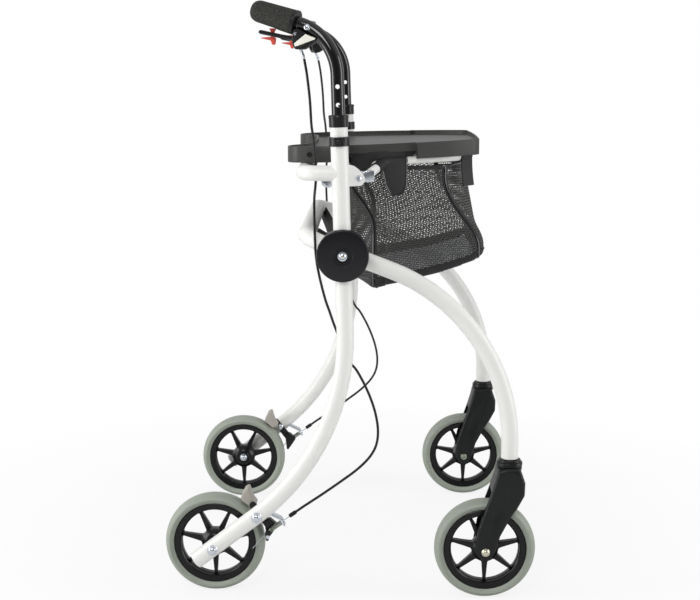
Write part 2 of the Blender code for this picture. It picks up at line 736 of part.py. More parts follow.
def build_top(word, side):
    """Collar, button band and button on one upright."""
    axis = lean_axis()
    base = upright(side, 0.0)
    tilt = 1.0 / math.cos(LEAN)
    top = LEG_TOP_Z + GAP
    wide = clear(TUBE_R, 12)
    slim = clear(HANDLE_R, 12)
    profile = [(wide, COLLAR_LOW_Z), (COLLAR_R, COLLAR_LOW_Z),
               (COLLAR_R, COLLAR_TOP_Z - 0.0015), (COLLAR_R - 0.0015, COLLAR_TOP_Z), (slim, COLLAR_TOP_Z),
               (slim, top), (wide, top)]
    profile = [(r, z * tilt) for r, z in profile]
    collar = revolve("collar_" + word, profile, base, axis, 12, "black_plastic")
    profile = [(wide, BAND_LOW_Z), (BAND_R, BAND_LOW_Z), (BAND_R, BAND_TOP_Z), (wide, BAND_TOP_Z)]
    profile = [(r, z * tilt) for r, z in profile]
    band = revolve("button_band_" + word, profile, base, axis, 12, "black_plastic")
    spot = upright(side, PIN_Z)
    y = side * 1.0
    ends = [spot + Vector((0.0, y * reach, 0.0)) for reach in (TUBE_R + 0.0008, BOSS_OUT)]
    boss = rod("boss", *ends, BUTTON_R + 0.0020, FINE, "steel")
    combine(band, [boss], "UNION")
    ends = [spot + Vector((0.0, y * reach, 0.0)) for reach in (TUBE_R - 0.0025, BOSS_OUT + 0.002)]
    cut = rod("hole", *ends, clear(BUTTON_R, SMALL), SMALL, "steel")
    combine(band, [post(side, BAND_LOW_Z - 0.01, BAND_TOP_Z + 0.01), cut], "DIFFERENCE")
    steps = [(PIN_R, HANDLE_R + 0.0005, BUTTON_SEAT), (BUTTON_R, BUTTON_SEAT, BUTTON_OUT)]
    button = stepped("height_button_" + word, steps, spot, (0.0, y, 0.0), SMALL, "black_plastic")
    return collar, band, button


def build_pivot(word, side):
    """Disc and bolt at the pivot of the front frame."""
    origin = (PIVOT[0], 0.0, PIVOT[1])
    axis = (0.0, side, 0.0)
    bore = clear(PIVOT_BOLT_R, 16)
    profile = [(bore, DISC_IN), (DISC_R - 0.003, DISC_IN), (DISC_R, DISC_IN + 0.003),
               (DISC_R, DISC_OUT - 0.0015), (DISC_R - 0.0015, DISC_OUT), (bore, DISC_OUT)]
    disc = revolve("hinge_disc_" + word, profile, origin, axis, 16, "black_plastic")
    combine(disc, [post(side, PIVOT[1] - 0.06, PIVOT[1] + 0.06)], "DIFFERENCE")
    inner = FRAME_Y_TOP - TUBE_R
    outer = FRAME_Y_TOP + TUBE_R
    leg_in = LEG_Y - TUBE_R
    bolt = stepped("pivot_bolt_" + word, [
        (0.0060, inner - 0.0060, inner - GAP), (PIVOT_BOLT_R, inner - GAP, outer + 0.0002),
        (0.0085, outer + 0.0002, leg_in - 0.0002), (PIVOT_BOLT_R, leg_in - 0.0002, DISC_OUT + GAP),
        (0.0056, DISC_OUT + GAP, DISC_OUT + 0.0030), (0.0034, DISC_OUT + 0.0030, DISC_OUT + 0.0045)],
        origin, axis, SMALL, "steel")
    return disc, bolt


def build_wheel(prefix, word, axle, centre_y):
    """Tyre and spoked rim on a Y axis."""
    origin = (axle[0], centre_y, axle[1])
    axis = (0.0, 1.0, 0.0)
    half = TYRE_W / 2.0
    seat = clear(RIM_R * FLAT, WHEEL_SIDES)
    tread = WHEEL_R / FLAT
    tyre = [(seat, -RIM_W / 2.0), (seat + 0.0060, -half), (tread, -half + 0.0085), (tread, half - 0.0085),
            (seat + 0.0060, half), (seat, RIM_W / 2.0)]
    tyre = revolve(prefix + "_tyre_" + word, tyre, origin, axis, WHEEL_SIDES, "tyre")
    ring = [(OPENING_R, -RIM_W / 2.0), (RIM_R, -RIM_W / 2.0), (RIM_R, RIM_W / 2.0), (OPENING_R, RIM_W / 2.0)]
    rim = revolve(prefix + "_rim_" + word, ring, origin, axis, WHEEL_SIDES, "black_plastic")
    spokes = []
    for k in range(SPOKES):
        turn = -math.pi / 2.0 + 2.0 * math.pi * k / SPOKES
        a = Vector((math.cos(turn), 0.0, math.sin(turn)))
        b = Vector((-math.sin(turn), 0.0, math.cos(turn)))
        outline = [(HUB_R - 0.004, -0.0042), (OPENING_R + 0.003, -0.0026), (OPENING_R + 0.003, 0.0026),
                   (HUB_R - 0.004, 0.0042)]
        spokes.append(prism("spoke", outline, lambda u, v, w, a=a, b=b: Vector(origin) + a * u + b * v
                            + Vector((0.0, w, 0.0)), -SPOKE_W / 2.0, SPOKE_W / 2.0, "steel"))
    ends = [(origin[0], centre_y + reach, origin[2]) for reach in (-HUB_W / 2.0, HUB_W / 2.0)]
    hub = rod("hub", *ends, HUB_R, 2 * SPOKES, "steel")
    combine(rim, spokes + [hub], "UNION")
    ends = [(origin[0], centre_y + reach, origin[2]) for reach in (-HUB_W, HUB_W)]
    bore = rod("bore", *ends, clear(AXLE_R, SMALL), SMALL, "steel")
    combine(rim, [bore], "DIFFERENCE")
    return tyre, rim


def build_rear_axle(word, side):
    outer = LEG_Y + TUBE_R
    inner = LEG_Y - TUBE_R
    hub_out = REAR_WHEEL_Y + HUB_W / 2.0
    hub_in = REAR_WHEEL_Y - HUB_W / 2.0
    steps = [(0.0062, hub_in - 0.0055, hub_in - GAP), (AXLE_R, hub_in - GAP, hub_out + GAP),
             (0.0070, hub_out + GAP, inner - GAP), (AXLE_R, inner - GAP, outer + GAP),
             (0.0070, outer + GAP, outer + 0.0040)]
    origin = (REAR_AXLE[0], 0.0, REAR_AXLE[1])
    return stepped("rear_axle_" + word, steps, origin, (0.0, side, 0.0), SMALL, "steel")


def build_fork(word, side):
    y = side * FRAME_Y_LOW
    def place(u, v, w):
        return Vector((u - 0.003, y + w, v))
    outline = [(0.2430, 0.2020), (0.2545, 0.1990), (0.2610, 0.1800), (0.2605, 0.1610), (0.2500, 0.1410),
               (0.2410, 0.1280), (0.2260, 0.0990), (0.2200, 0.0780), (0.2150, 0.0650), (0.2066, 0.0600),
               (0.2007, 0.0600), (0.1940, 0.0680), (0.1890, 0.0820), (0.1940, 0.1120), (0.2040, 0.1420),
               (0.2106, 0.1605), (0.2180, 0.1850), (0.2210, 0.1990), (0.2330, 0.2020)]
    fork = prism("fork_" + word, outline, place, -FORK_OUT, FORK_OUT, "black_plastic")
    box = [(0.150, 0.040), (0.290, 0.040), (0.290, 0.158), (0.262, 0.166), (0.215, 0.166), (0.150, 0.150)]
    slot = prism("slot", box, place, -FORK_IN, FORK_IN, "steel")
    axle = rod("hole", (FRONT_AXLE[0], y - 0.04, FRONT_AXLE[1]), (FRONT_AXLE[0], y + 0.04, FRONT_AXLE[1]),
               clear(AXLE_R, SMALL), SMALL, "steel")
    combine(fork, [slot, axle], "DIFFERENCE")
    cap = stepped("cap", [(0.0165, 0.190, 0.1985), (FORK_CAP_R, 0.1985, 0.2100),
                          (FORK_CAP_R - 0.0035, 0.2100, FORK_CAP_Z)],
                  (CASTER_X, y, 0.0), (0.0, 0.0, 1.0), 14, "steel")
    combine(fork, [cap], "UNION")
    ends = [(CASTER_X, y, z) for z in (STEM_LOW_Z - GAP, STEM_TOP_Z)]
    bore = rod("hole", *ends, clear(STEM_R, FINE), FINE, "steel")
    combine(fork, [bore], "DIFFERENCE")
    ends = [(CASTER_X, y, z) for z in (STEM_LOW_Z, STEM_TOP_Z)]
    stem = rod("caster_stem_" + word, *ends, STEM_R, FINE, "steel")
    reach = FORK_OUT + GAP
    head = AXLE_R + 0.0025
    steps = [(head, -reach - 0.0045, -reach), (AXLE_R, -reach, reach), (head, reach, reach + 0.0045)]
    origin = (FRONT_AXLE[0], y, FRONT_AXLE[1])
    axle = stepped("front_axle_" + word, steps, origin, (0.0, side, 0.0), SMALL, "steel")
    return fork, stem, axle


def build_brake(word, side):
    """Arm, shoe, bolt, cable stop and spring of one rear brake."""
    def place(u, v, w):
        return Vector((u, side * w, v))
    def on_leg(along, up):
        spot = leg_point(side, along, -up)
        return spot.x, spot.z
    d = BRAKE_BOLT_DIST
    bar = [on_leg(d - 0.0062, 0.028), on_leg(d + 0.0062, 0.028), on_leg(d + 0.0062, -0.030),
           on_leg(d - 0.0062, -0.034)]
    arm = prism("brake_arm_" + word, bar, place, BRAKE_BAR_IN, BRAKE_BAR_OUT, "black_plastic")
    block = [(-0.1240, 0.1140), (-0.1100, 0.0985), (-0.1160, 0.0905), (-0.1205, 0.0850), (-0.1235, 0.0900),
             (-0.1285, 0.1045)]
    block = prism("block", block, place, BRAKE_BAR_IN - 0.0062, BRAKE_BAR_OUT + 0.0013, "steel")
    tab = [(-0.1165, 0.0945), (-0.1200, 0.0835), (-0.1238, 0.0835), (-0.1250, 0.0965), (-0.1205, 0.1000)]
    tab = prism("tab", tab, place, BRAKE_BAR_IN - 0.0022, CABLE_Y + 0.0040, "steel")
    combine(arm, [block, tab], "UNION")
    bolt_x, bolt_z = on_leg(d, 0.0)
    ends = [place(bolt_x, bolt_z, w) for w in (BRAKE_BAR_IN - 0.03, BRAKE_BAR_OUT + 0.03)]
    hole = rod("hole", *ends, clear(BRAKE_BOLT_R, SMALL), SMALL, "steel")
    combine(arm, [hole], "DIFFERENCE")
    outline = [(-0.1495, 0.1610), (-0.1560, 0.1570), (-0.1620, 0.1450), (-0.1603, 0.1407)]
    for degrees in (57.0, 51.5, 46.0):
        turn = math.radians(degrees)
        outline.append((REAR_AXLE[0] + 0.0772 * math.cos(turn), REAR_AXLE[1] + 0.0772 * math.sin(turn)))
    outline += [(-0.1370, 0.1340), (-0.1440, 0.1430), (-0.1465, 0.1500)]
    shoe = prism("brake_shoe_" + word, outline, place, REAR_WHEEL_Y - 0.0130, BRAKE_BAR_IN - GAP,
                 "shoe_rubber")
    outer = LEG_Y + TUBE_R
    inner = LEG_Y - TUBE_R
    steps = [(0.0052, BRAKE_BAR_IN - 0.0040, BRAKE_BAR_IN - GAP),
             (BRAKE_BOLT_R, BRAKE_BAR_IN - GAP, BRAKE_BAR_OUT + GAP),
             (0.0050, BRAKE_BAR_OUT + GAP, inner - GAP), (BRAKE_BOLT_R, inner - GAP, outer + GAP),
             (0.0080, outer + GAP, outer + 0.0018), (0.0050, outer + 0.0018, outer + 0.0034)]
    bolt = stepped("brake_bolt_" + word, steps, (bolt_x, 0.0, bolt_z), (0.0, side, 0.0), SMALL, "steel")
    stop = [(-0.1195, 0.1285), (-0.1000, 0.1195), (-0.0945, 0.1085), (-0.0965, 0.1075), (-0.1022, 0.1172),
            (-0.1205, 0.1262)]
    stop = prism("cable_stop_" + word, stop, place, CABLE_Y - 0.006, CABLE_Y + 0.008, "steel")
    path = [leg_point(side, 0.05), leg_point(side, LEG_STRAIGHT)]
    tangent = Vector((math.cos(LEG_SLOPE), 0.0, math.sin(LEG_SLOPE)))
    normal = Vector((-math.sin(LEG_SLOPE), 0.0, math.cos(LEG_SLOPE)))
    path += arc_points(path[-1], tangent, normal, LEG_BEND_R, math.radians(14.0), 2)
    keep = sweep("keep", path, clear(TUBE_R, 12), None, 12, "steel")
    hole_at, aim = spring_axis(side)
    hole = rod("hole", hole_at - aim * 0.012, hole_at + aim * 0.004, WIRE_R + 0.0007, 8, "steel")
    combine(stop, [keep, hole], "DIFFERENCE")
    points = []
    length = 0.0215
    turns = SPRING_CURLS * SPRING_STEP
    a = aim.cross(Vector((0.0, 1.0, 0.0))).normalized()
    b = aim.cross(a)
    radius = SPRING_R - SPRING_WIRE_R
    for i in range(turns + 1):
        angle = 2.0 * math.pi * i / SPRING_STEP
        points.append(hole_at + aim * (length * i / turns + 0.0012) + a * (radius * math.cos(angle))
                      + b * (radius * math.sin(angle)))
    least = min((points[i + SPRING_STEP] - points[i]).length for i in range(turns + 1 - SPRING_STEP))
    print("spring", word, "least gap between curls", round((least - 2.0 * SPRING_WIRE_R) * 1000.0, 2), "mm")
    spring = cord("brake_spring_" + word, points, SPRING_WIRE_R, 1, "steel")
    return arm, shoe, bolt, stop, spring


def spring_axis(side):
    """Where the wire leaves the cable stop, and the way it runs to the brake arm."""
    start = Vector((-0.0995, side * CABLE_Y, 0.1125))
    end = Vector((-0.1190, side * CABLE_Y, 0.0985))
    return start, (end - start).normalized()


def build_cable(word, side):
    start, aim = barrel_line(side)
    start = start + aim + aim.normalized() * 0.0028
    route = [(-0.0590, 0.2440, 0.7676), (-0.0553, 0.2405, 0.7328), (-0.0534, 0.2370, 0.6976),
             (-0.0505, 0.2325, 0.6764), (-0.0480, 0.2300, 0.6436), (-0.0480, 0.2300, 0.6165),
             (-0.0500, 0.2370, 0.5880), (-0.0487, 0.2460, 0.5346), (-0.0470, 0.2490, 0.5092),
             (-0.0430, 0.2480, 0.4845), (-0.0350, 0.2440, 0.4503), (-0.0282, 0.2400, 0.4291),
             (-0.0200, 0.2375, 0.4047), (-0.0009, 0.2370, 0.3580), (0.0108, 0.2375, 0.3420),
             (0.0224, 0.2385, 0.3210), (0.0322, 0.2400, 0.2985), (0.0392, 0.2425, 0.2760),
             (0.0425, 0.2450, 0.2530), (0.0402, 0.2465, 0.2321), (0.0310, 0.2470, 0.2140),
             (0.0130, 0.2470, 0.1950), (-0.0120, 0.2465, 0.1755), (-0.0410, 0.2460, 0.1545),
             (-0.0680, 0.2460, 0.1360)]
    end = Vector((-0.0825, side * CABLE_Y, 0.1255))
    points = [start] + [Vector((x, side * y, z)) for x, y, z in route] + [end]
    smooth = smooth_path(points, 0.0145)
    sheath = len(smooth)
    hole_at, aim = spring_axis(side)
    smooth += [end + (hole_at - end) * 0.02, end + (hole_at - end) * 0.45, hole_at - aim * 0.003,
               hole_at + aim * 0.010, hole_at + aim * 0.0236]
    print("cable", word, "sheath length", round(sum((b - a).length for a, b in
          zip(smooth[:sheath], smooth[1:sheath])) * 1000.0, 1), "mm, points", len(smooth))
    return cord("brake_cable_" + word, smooth, CABLE_R, 2, "black_plastic", sheath, WIRE_R / CABLE_R)


def tray_outline():
    """Right half of the tray's plan, from the middle of the rear edge to the front."""
    return [(-0.0560, 0.0), (-0.0580, 0.0700), (-0.0600, 0.1100), (-0.0680, 0.1380), (-0.0850, 0.1520),
            (-0.0920, 0.1680), (-0.0900, 0.1860), (-0.0800, 0.2000), (-0.0550, 0.2105), (-0.0300, 0.2150),
            (-0.0040, 0.2155), (0.0000, 0.2060), (0.0480, 0.2005), (0.0960, 0.1830), (0.0990, 0.1905),
            (0.1520, 0.1650), (0.1860, 0.1440), (0.1930, 0.1330), (0.1950, 0.0700), (0.1960, 0.0)]


def inset(outline, amount):
    """Move a closed outline inwards by an even amount."""
    area = sum(a[0] * b[1] - b[0] * a[1] for a, b in zip(outline, outline[1:] + outline[:1]))
    sign = 1.0 if area > 0.0 else -1.0
    result = []
    count = len(outline)
    for i in range(count):
        p = Vector(outline[i - 1])
        q = Vector(outline[i])
        r = Vector(outline[(i + 1) % count])
        d1 = (q - p).normalized()
        d2 = (r - q).normalized()
        n1 = Vector((-d1.y, d1.x)) * sign
        n2 = Vector((-d2.y, d2.x)) * sign
        n = n1 + n2
        n = n / max(n.dot(n1), 0.35)
        result.append(tuple(q + n * amount))
    return result


def build_tray():
    half = tray_outline()
    outline = [(x, -y) for x, y in half] + [(x, y) for x, y in half[-2:0:-1]]
    inner = inset(outline, TRAY_WALL)
    bm = bmesh.new()
    def loop(shape, depth):
        points = []
        for (x, y), (near, _) in zip(shape, outline):
            low = depth
            if depth == TRAY_DEEP and TRAY_CUT[0] < near < TRAY_CUT[1] and abs(y) > 0.15:
                low = TRAY_SHALLOW
            points.append(bm.verts.new((x, y, TRAY_TOP_Z + TRAY_RISE * x - low)))
        return points
    loops = [loop(inner, TRAY_FLOOR), loop(inner, 0.0), loop(outline, 0.0), loop(outline, TRAY_DEEP),
             loop(inner, TRAY_DEEP), loop(inner, TRAY_FLOOR + TRAY_WALL)]
    count = len(outline)
    for first, second in zip(loops, loops[1:]):
        for k in range(count):
            n = (k + 1) % count
            bm.faces.new((first[k], first[n], second[n], second[k]))
    bm.faces.new(loops[0])
    bm.faces.new(loops[-1])
    bmesh.ops.recalc_face_normals(bm, faces=bm.faces)
    tray = finish(bm, "tray", "black_plastic")
    pads = []
    for x, y, wide in ((0.100, 0.1690, 0.009), (0.150, 0.1440, 0.009)):
        for side in (-1.0, 1.0):
            low = loop_height(x) + LOOP_R + GAP
            high = TRAY_TOP_Z + TRAY_RISE * x - TRAY_FLOOR - 0.001
            shape = [(x - 0.005, low), (x + 0.005, low), (x + 0.005, high), (x - 0.005, high)]

            def place(u, v, w, s=side, c=y):
                return Vector((u, s * (c + w), v))
            pads.append(prism("pad", shape, place, -wide, wide, "steel"))
    combine(tray, pads, "UNION")
    return tray


def loop_height(x):
    return 0.6420 + TRAY_RISE * x


def loop_corners(side):
    corners = [Vector((SCREW[0] - 0.006, side * (LEG_Y - 0.0075), SCREW[1] - 0.001)),
               Vector((SCREW[0] + 0.0125, side * (LEG_Y - 0.0130), SCREW[1] + 0.0033)),
               Vector((SCREW[0] + 0.0265, side * (LEG_Y - 0.0440), SCREW[1] + 0.0113))]
    for x, y in ((0.0500, 0.1930), (0.0980, 0.1720), (0.1500, 0.1465), (LOOP_FRONT, 0.1200)):
        corners.append(Vector((x, side * y, loop_height(x))))
    return corners


def build_support():
    corners = loop_corners(-1.0) + loop_corners(1.0)[::-1]
    radii = [0.020, 0.020, 0.0, 0.0, 0.0, 0.022, 0.022, 0.0, 0.0, 0.0, 0.020, 0.020]
    points = rounded(corners, radii, math.radians(30.0))
    loop = sweep("support_loop", points, LOOP_R, LOOP_R - LOOP_WALL, SMALL, "white_tube")
    parts = []
    for side in (-1.0, 1.0):
        box = [(-0.0155, -0.0117), (0.0060, -0.0117), (0.0060, 0.0103), (-0.0155, 0.0103)]
        parts.append(prism("trim", box, lambda u, v, w, s=side: Vector((SCREW[0] + u, s * w, SCREW[1] + v)),
                           LEG_Y - 0.019, LEG_Y + 0.005, "steel"))
    combine(loop, parts, "DIFFERENCE")
    plates = []
    for side in (-1.0, 1.0):
        eye = []
        for k in range(10):
            turn = math.radians(70.0 + 220.0 * k / 9.0)
            eye.append((0.0062 * math.cos(turn), 0.0062 * math.sin(turn)))
        shape = eye + [(0.0135, -0.0027), (0.0195, -0.0007), (0.0195, 0.0073), (0.0135, 0.0088)]
        outer = LEG_Y - GUSSET_HALF - GAP
        plates.append(prism("link", shape,
                            lambda u, v, w, s=side: Vector((SCREW[0] + u, s * w, SCREW[1] + v)),
                            outer - LINK_WIDE, outer, "steel"))
    combine(loop, plates, "UNION")
    holes = []
    for side in (-1.0, 1.0):
        ends = [(SCREW[0], side * (LEG_Y + reach), SCREW[1]) for reach in (-0.025, 0.015)]
        holes.append(rod("hole", *ends, clear(SCREW_R, SMALL), SMALL, "steel"))
    combine(loop, holes, "DIFFERENCE")
    return loop


def build_screw(word, side):
    inner = LEG_Y - GUSSET_HALF - GAP - LINK_WIDE
    outer = LEG_Y + GUSSET_HALF
    steps = [(0.0045, inner - 0.0028, inner - GAP), (SCREW_R, inner - GAP, outer + GAP),
             (0.0044, outer + GAP, outer + 0.0020), (0.0030, outer + 0.0020, outer + 0.0032)]
    origin = (SCREW[0], 0.0, SCREW[1])
    return stepped("support_screw_" + word, steps, origin, (0.0, side, 0.0), SMALL, "steel")


def basket_outline(t):
    """Right half of the basket's plan at a height: t is 0 at the floor and 1 at the rim."""
    rear = 0.0180 - 0.0080 * t
    wide = 0.190 - 0.006 * (1.0 - t)
    corner_x = 0.192 - 0.058 * min(1.0, max(0.0, (t - 0.25) / 0.60))
    corner_y = 0.148 + 0.006 * t
    front = 0.212 - 0.0415 * t
    return [(rear - 0.004, 0.0), (rear - 0.003, 0.110), (rear + 0.002, wide - 0.020),
            (rear + 0.010, wide - 0.006), (rear + 0.026, wide),
            (0.068, wide - 0.006 - 0.0060 * t), (corner_x - 0.022, corner_y + 0.008),
            (corner_x - 0.006, corner_y), (corner_x + 0.003, corner_y - 0.014),
            (front - 0.002, 0.080), (front, 0.0)]


def build_basket():
    levels = [(0.0, 0.0, 0.014), (0.0, 0.0045, 0.005), (0.10, 0.0, 0.0), (0.25, 0.0, 0.0), (0.55, 0.0, 0.0),
              (0.85, 0.0, 0.0), (1.0, 0.0, 0.0)]
    bm = bmesh.new()
    def loop(t, lift, shrink):
        half = basket_outline(t)
        outline = [(x, -y) for x, y in half] + [(x, y) for x, y in half[-2:0:-1]]
        outline = inset(outline, shrink) if shrink else outline
        ring = []
        for x, y in outline:
            low = BASKET_FLOOR_Z + BASKET_FLOOR_RISE * (x - 0.045)
            ring.append(bm.verts.new((x, y, low + (BASKET_TOP_Z - low) * t + lift)))
        return ring
    loops = [loop(t, lift, shrink) for t, lift, shrink in levels]
    for t, lift, shrink in levels[::-1]:
        up = CLOTH if t < 0.05 else 0.0
        loops.append(loop(t, lift + up, shrink + CLOTH))
    count = len(loops[0])
    for first, second in zip(loops, loops[1:]):
        for k in range(count):
            n = (k + 1) % count
            bm.faces.new((first[k], first[n], second[n], second[k]))
    bm.faces.new(loops[0])
    bm.faces.new(loops[-1])
    basket = finish(bm, "basket", "mesh_cloth")
    tabs = []
    for side in (-1.0, 1.0):
        tabs.append(tab("tab", Vector((0.068, side * 0.18513, loop_height(0.068))),
                        Vector((0.916, -side * 0.401, 0.916 * TRAY_RISE)), 0.0290, 0.593, side))
        tabs.append(tab("tab", Vector((LOOP_FRONT, side * 0.080, loop_height(LOOP_FRONT))),
                        Vector((0.0, -side, 0.0)), 0.0240, 0.604, side))
    combine(basket, tabs, "UNION")
    return basket


def tab(name, centre, along, wide, low_z, side):
    """A cloth tab hung over the loop's tube: a tongue outside, a short end sewn to the basket inside."""
    along = Vector(along).normalized()
    out = Vector((0.0, 0.0, 1.0)).cross(along).normalized()
    if out.dot(Vector((0.3, side, 0.0))) < 0.0:
        out = -out
    up = along.cross(out).normalized()
    if up.z < 0.0:
        up = -up
    r0 = clear(LOOP_R, 10)
    r1 = r0 + 0.0016
    drop = low_z - centre.z
    hem = BASKET_TOP_Z - 0.005 - centre.z
    shape = [(r0, drop), (r1, drop)]
    for k in range(6):
        turn = math.pi * k / 5.0
        shape.append((r1 * math.cos(turn), r1 * math.sin(turn)))
    shape += [(-r1, hem), (-r0, hem)]
    for k in range(5, -1, -1):
        turn = math.pi * k / 5.0
        shape.append((r0 * math.cos(turn), r0 * math.sin(turn)))
    return prism(name, shape, lambda u, v, w: centre + out * u + up * v + along * w, -wide / 2.0, wide / 2.0,
                 "webbing")


def build_strap():
    """Pull strap along the crossbar of the front frame, with a loop round it at each end."""
    along = Vector((math.cos(FRAME_SLOPE), 0.0, -math.sin(FRAME_SLOPE)))
    centre = Vector((PIVOT[0], 0.0, PIVOT[1])) - along * FRAME_BACK
    up = Vector((math.sin(FRAME_SLOPE), 0.0, math.cos(FRAME_SLOPE)))
    r0 = clear(TUBE_R, 12)
    r1 = r0 + 0.0016
    rings = []
    for side in (-1.0, 1.0):
        profile = [(r0, 0.150), (r1, 0.150), (r1, 0.172), (r0, 0.172)]
        rings.append(revolve("ring", profile, centre, (0.0, side, 0.0), 12, "webbing"))
    band = [(r1 - 0.0008, -0.0100), (r1 + 0.0012, -0.0100), (r1 + 0.0012, 0.0100), (r1 - 0.0008, 0.0100)]
    strap = prism("pull_strap", band, lambda u, v, w: centre + along * u + up * v + Vector((0.0, w, 0.0)),
                  -0.1710, 0.1710, "webbing")
    combine(strap, rings, "UNION")
    bar = rod("bar", centre - Vector((0.0, 0.18, 0.0)), centre + Vector((0.0, 0.18, 0.0)), r0, 12, "steel")
    combine(strap, [bar], "DIFFERENCE")
    return strap


for old in list(bpy.data.objects):
    bpy.data.objects.remove(old, do_unlink=True)

build_crossbar()
frame, caster_x = build_front_frame()
set_origin(frame, (PIVOT[0], 0.0, PIVOT[1]))
print("hinge at x %.6f z %.6f, support screw at x %.6f z %.6f" % (*PIVOT, *SCREW))
strap = build_strap()
set_origin(strap, (PIVOT[0], 0.0, PIVOT[1]))
loop = build_support()
basket = build_basket()
for piece in (loop, basket):
    set_origin(piece, (SCREW[0], 0.0, SCREW[1]))
build_tray()
print("caster leg at x", round(caster_x * 1000.0, 2), "mm")

for word, side in SIDES:
    build_leg(word, side)
    tube, grip = build_handle(word, side)
    bracket = build_bracket(word, side)
    lever, lock, pivot = build_lever(word, side)
    collar, band, button = build_top(word, side)
    for piece in (tube, grip, bracket, pivot):
        set_origin(piece, upright(side, PIN_Z))
    set_origin(lever, grip_plane(side, *LEVER_PIN))
    set_origin(lock, grip_plane(side, *LOCK_PIN))
    set_origin(button, upright(side, PIN_Z))
    build_pivot(word, side)
    for piece in build_wheel("rear", word, REAR_AXLE, side * REAR_WHEEL_Y):
        set_origin(piece, (REAR_AXLE[0], side * REAR_WHEEL_Y, REAR_AXLE[1]))
    build_rear_axle(word, side)
    for piece in build_wheel("front", word, FRONT_AXLE, side * FRAME_Y_LOW):
        set_origin(piece, (FRONT_AXLE[0], side * FRAME_Y_LOW, FRONT_AXLE[1]))
    for piece in build_fork(word, side):
        set_origin(piece, (CASTER_X, side * FRAME_Y_LOW, FORK_CAP_Z))
    arm, shoe, bolt, stop, spring = build_brake(word, side)
    centre = leg_point(side, BRAKE_BOLT_DIST)
    for piece in (arm, shoe):
        set_origin(piece, centre)
    build_screw(word, side)
    build_cable(word, side)
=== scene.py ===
# %% [markdown]
# # Dressing the indoor rollator
# The frame that is loaded here is the CAD model: sixty named solids on twenty bodies, with coarse round
# shapes. Each step below makes the finer piece that shows in place of one or more of those solids, in
# metres, where the solid is.

# %% Load the frame
import json
import math
from functools import partial
import bmesh
import bpy
from mathutils import Matrix, Vector


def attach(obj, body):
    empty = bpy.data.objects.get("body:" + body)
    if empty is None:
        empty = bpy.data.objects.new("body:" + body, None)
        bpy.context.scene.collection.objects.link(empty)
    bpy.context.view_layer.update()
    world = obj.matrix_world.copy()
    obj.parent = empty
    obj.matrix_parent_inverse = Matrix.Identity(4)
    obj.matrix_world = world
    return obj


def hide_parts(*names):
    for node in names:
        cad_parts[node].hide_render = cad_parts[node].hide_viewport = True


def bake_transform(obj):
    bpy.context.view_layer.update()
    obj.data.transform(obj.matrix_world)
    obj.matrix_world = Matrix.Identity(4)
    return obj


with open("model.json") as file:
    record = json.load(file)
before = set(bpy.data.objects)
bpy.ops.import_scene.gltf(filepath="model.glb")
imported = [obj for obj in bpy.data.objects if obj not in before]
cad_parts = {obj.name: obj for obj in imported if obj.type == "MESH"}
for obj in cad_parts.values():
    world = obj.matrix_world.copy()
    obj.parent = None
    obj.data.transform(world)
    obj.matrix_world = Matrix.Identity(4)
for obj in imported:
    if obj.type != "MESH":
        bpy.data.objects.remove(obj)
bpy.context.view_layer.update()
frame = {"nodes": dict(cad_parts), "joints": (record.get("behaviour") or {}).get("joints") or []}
SIDES = (("right", -1.0), ("left", 1.0))


def joint_point(name):
    """Where a joint of the model turns, in metres."""
    return Vector(next(joint["pos_m"] for joint in frame["joints"] if joint["name"] == name))


def on_both_sides(build):
    """Build a piece on the right and on the left."""
    for word, side in SIDES:
        build(word, side)


# %% [markdown]
# ## Camera
# The picture was taken from the walker's right side, a little above the tray. A camera can be aimed by
# typing angles, but it is easier to check when it is a place and a direction, so the direction is made from
# the yaw and the pitch, and a quaternion turns the camera's own -Z onto it.

# %% Place the camera
CAMERA_PLACE = Vector((0.0356, -2.150, 0.7812))
CAMERA_PITCH = math.radians(9.9387)
CAMERA_YAW = math.radians(1.0275)
FOCAL_LENGTH = 68.914

view = bpy.data.cameras.new("camera")
view.sensor_width = 36.0
view.lens = FOCAL_LENGTH
camera = bpy.data.objects.new("camera", view)
bpy.context.collection.objects.link(camera)
aim = Vector((-math.sin(CAMERA_YAW) * math.cos(CAMERA_PITCH),
              math.cos(CAMERA_YAW) * math.cos(CAMERA_PITCH),
              -math.sin(CAMERA_PITCH)))
camera.location = CAMERA_PLACE
camera.rotation_euler = aim.to_track_quat("-Z", "Y").to_euler()
bpy.context.scene.camera = camera
print("camera aims along", [round(c, 4) for c in aim])

# %% [markdown]
# ## Nodes
# A material or a sky is a small network: nodes with options and numbers, and links between their sockets.
# Written out, each number is a line of its own, so two helpers say the same in less: one adds a node with
# its options and its numbers, and one joins sockets. Numbers set here stay on the sockets themselves.


# %% Add a node, join sockets
def node(tree, kind, values=None, **options):
    """A new node: options by name, socket values by the socket's name or number."""
    made = tree.nodes.new("ShaderNode" + kind)
    for option, value in options.items():
        setattr(made, option, value)
    for socket, value in (values or {}).items():
        made.inputs[socket].default_value = value
    return made


def join(tree, *runs):
    """Link sockets: each run is a node, its output, the next node and its input."""
    for source, out, target, into in runs:
        tree.links.new(source.outputs[out], target.inputs[into])


# %% [markdown]
# ## Light and floor
# White tubes and glossy black ones show only what they mirror. The backdrop is white for the camera alone,
# and a dimmer sky lights the object, or every black part would mirror white and turn grey. A tall strip
# lamp on each side draws the pale line down the glossy tubes, and a large lamp in front of them gives
# direction. The sky is darker in front, behind the camera, so that the tubes are black between their two
# pale lines. The floor is pale and matt: it keeps a soft shadow close to the wheels and turns to the white
# of the backdrop further out.

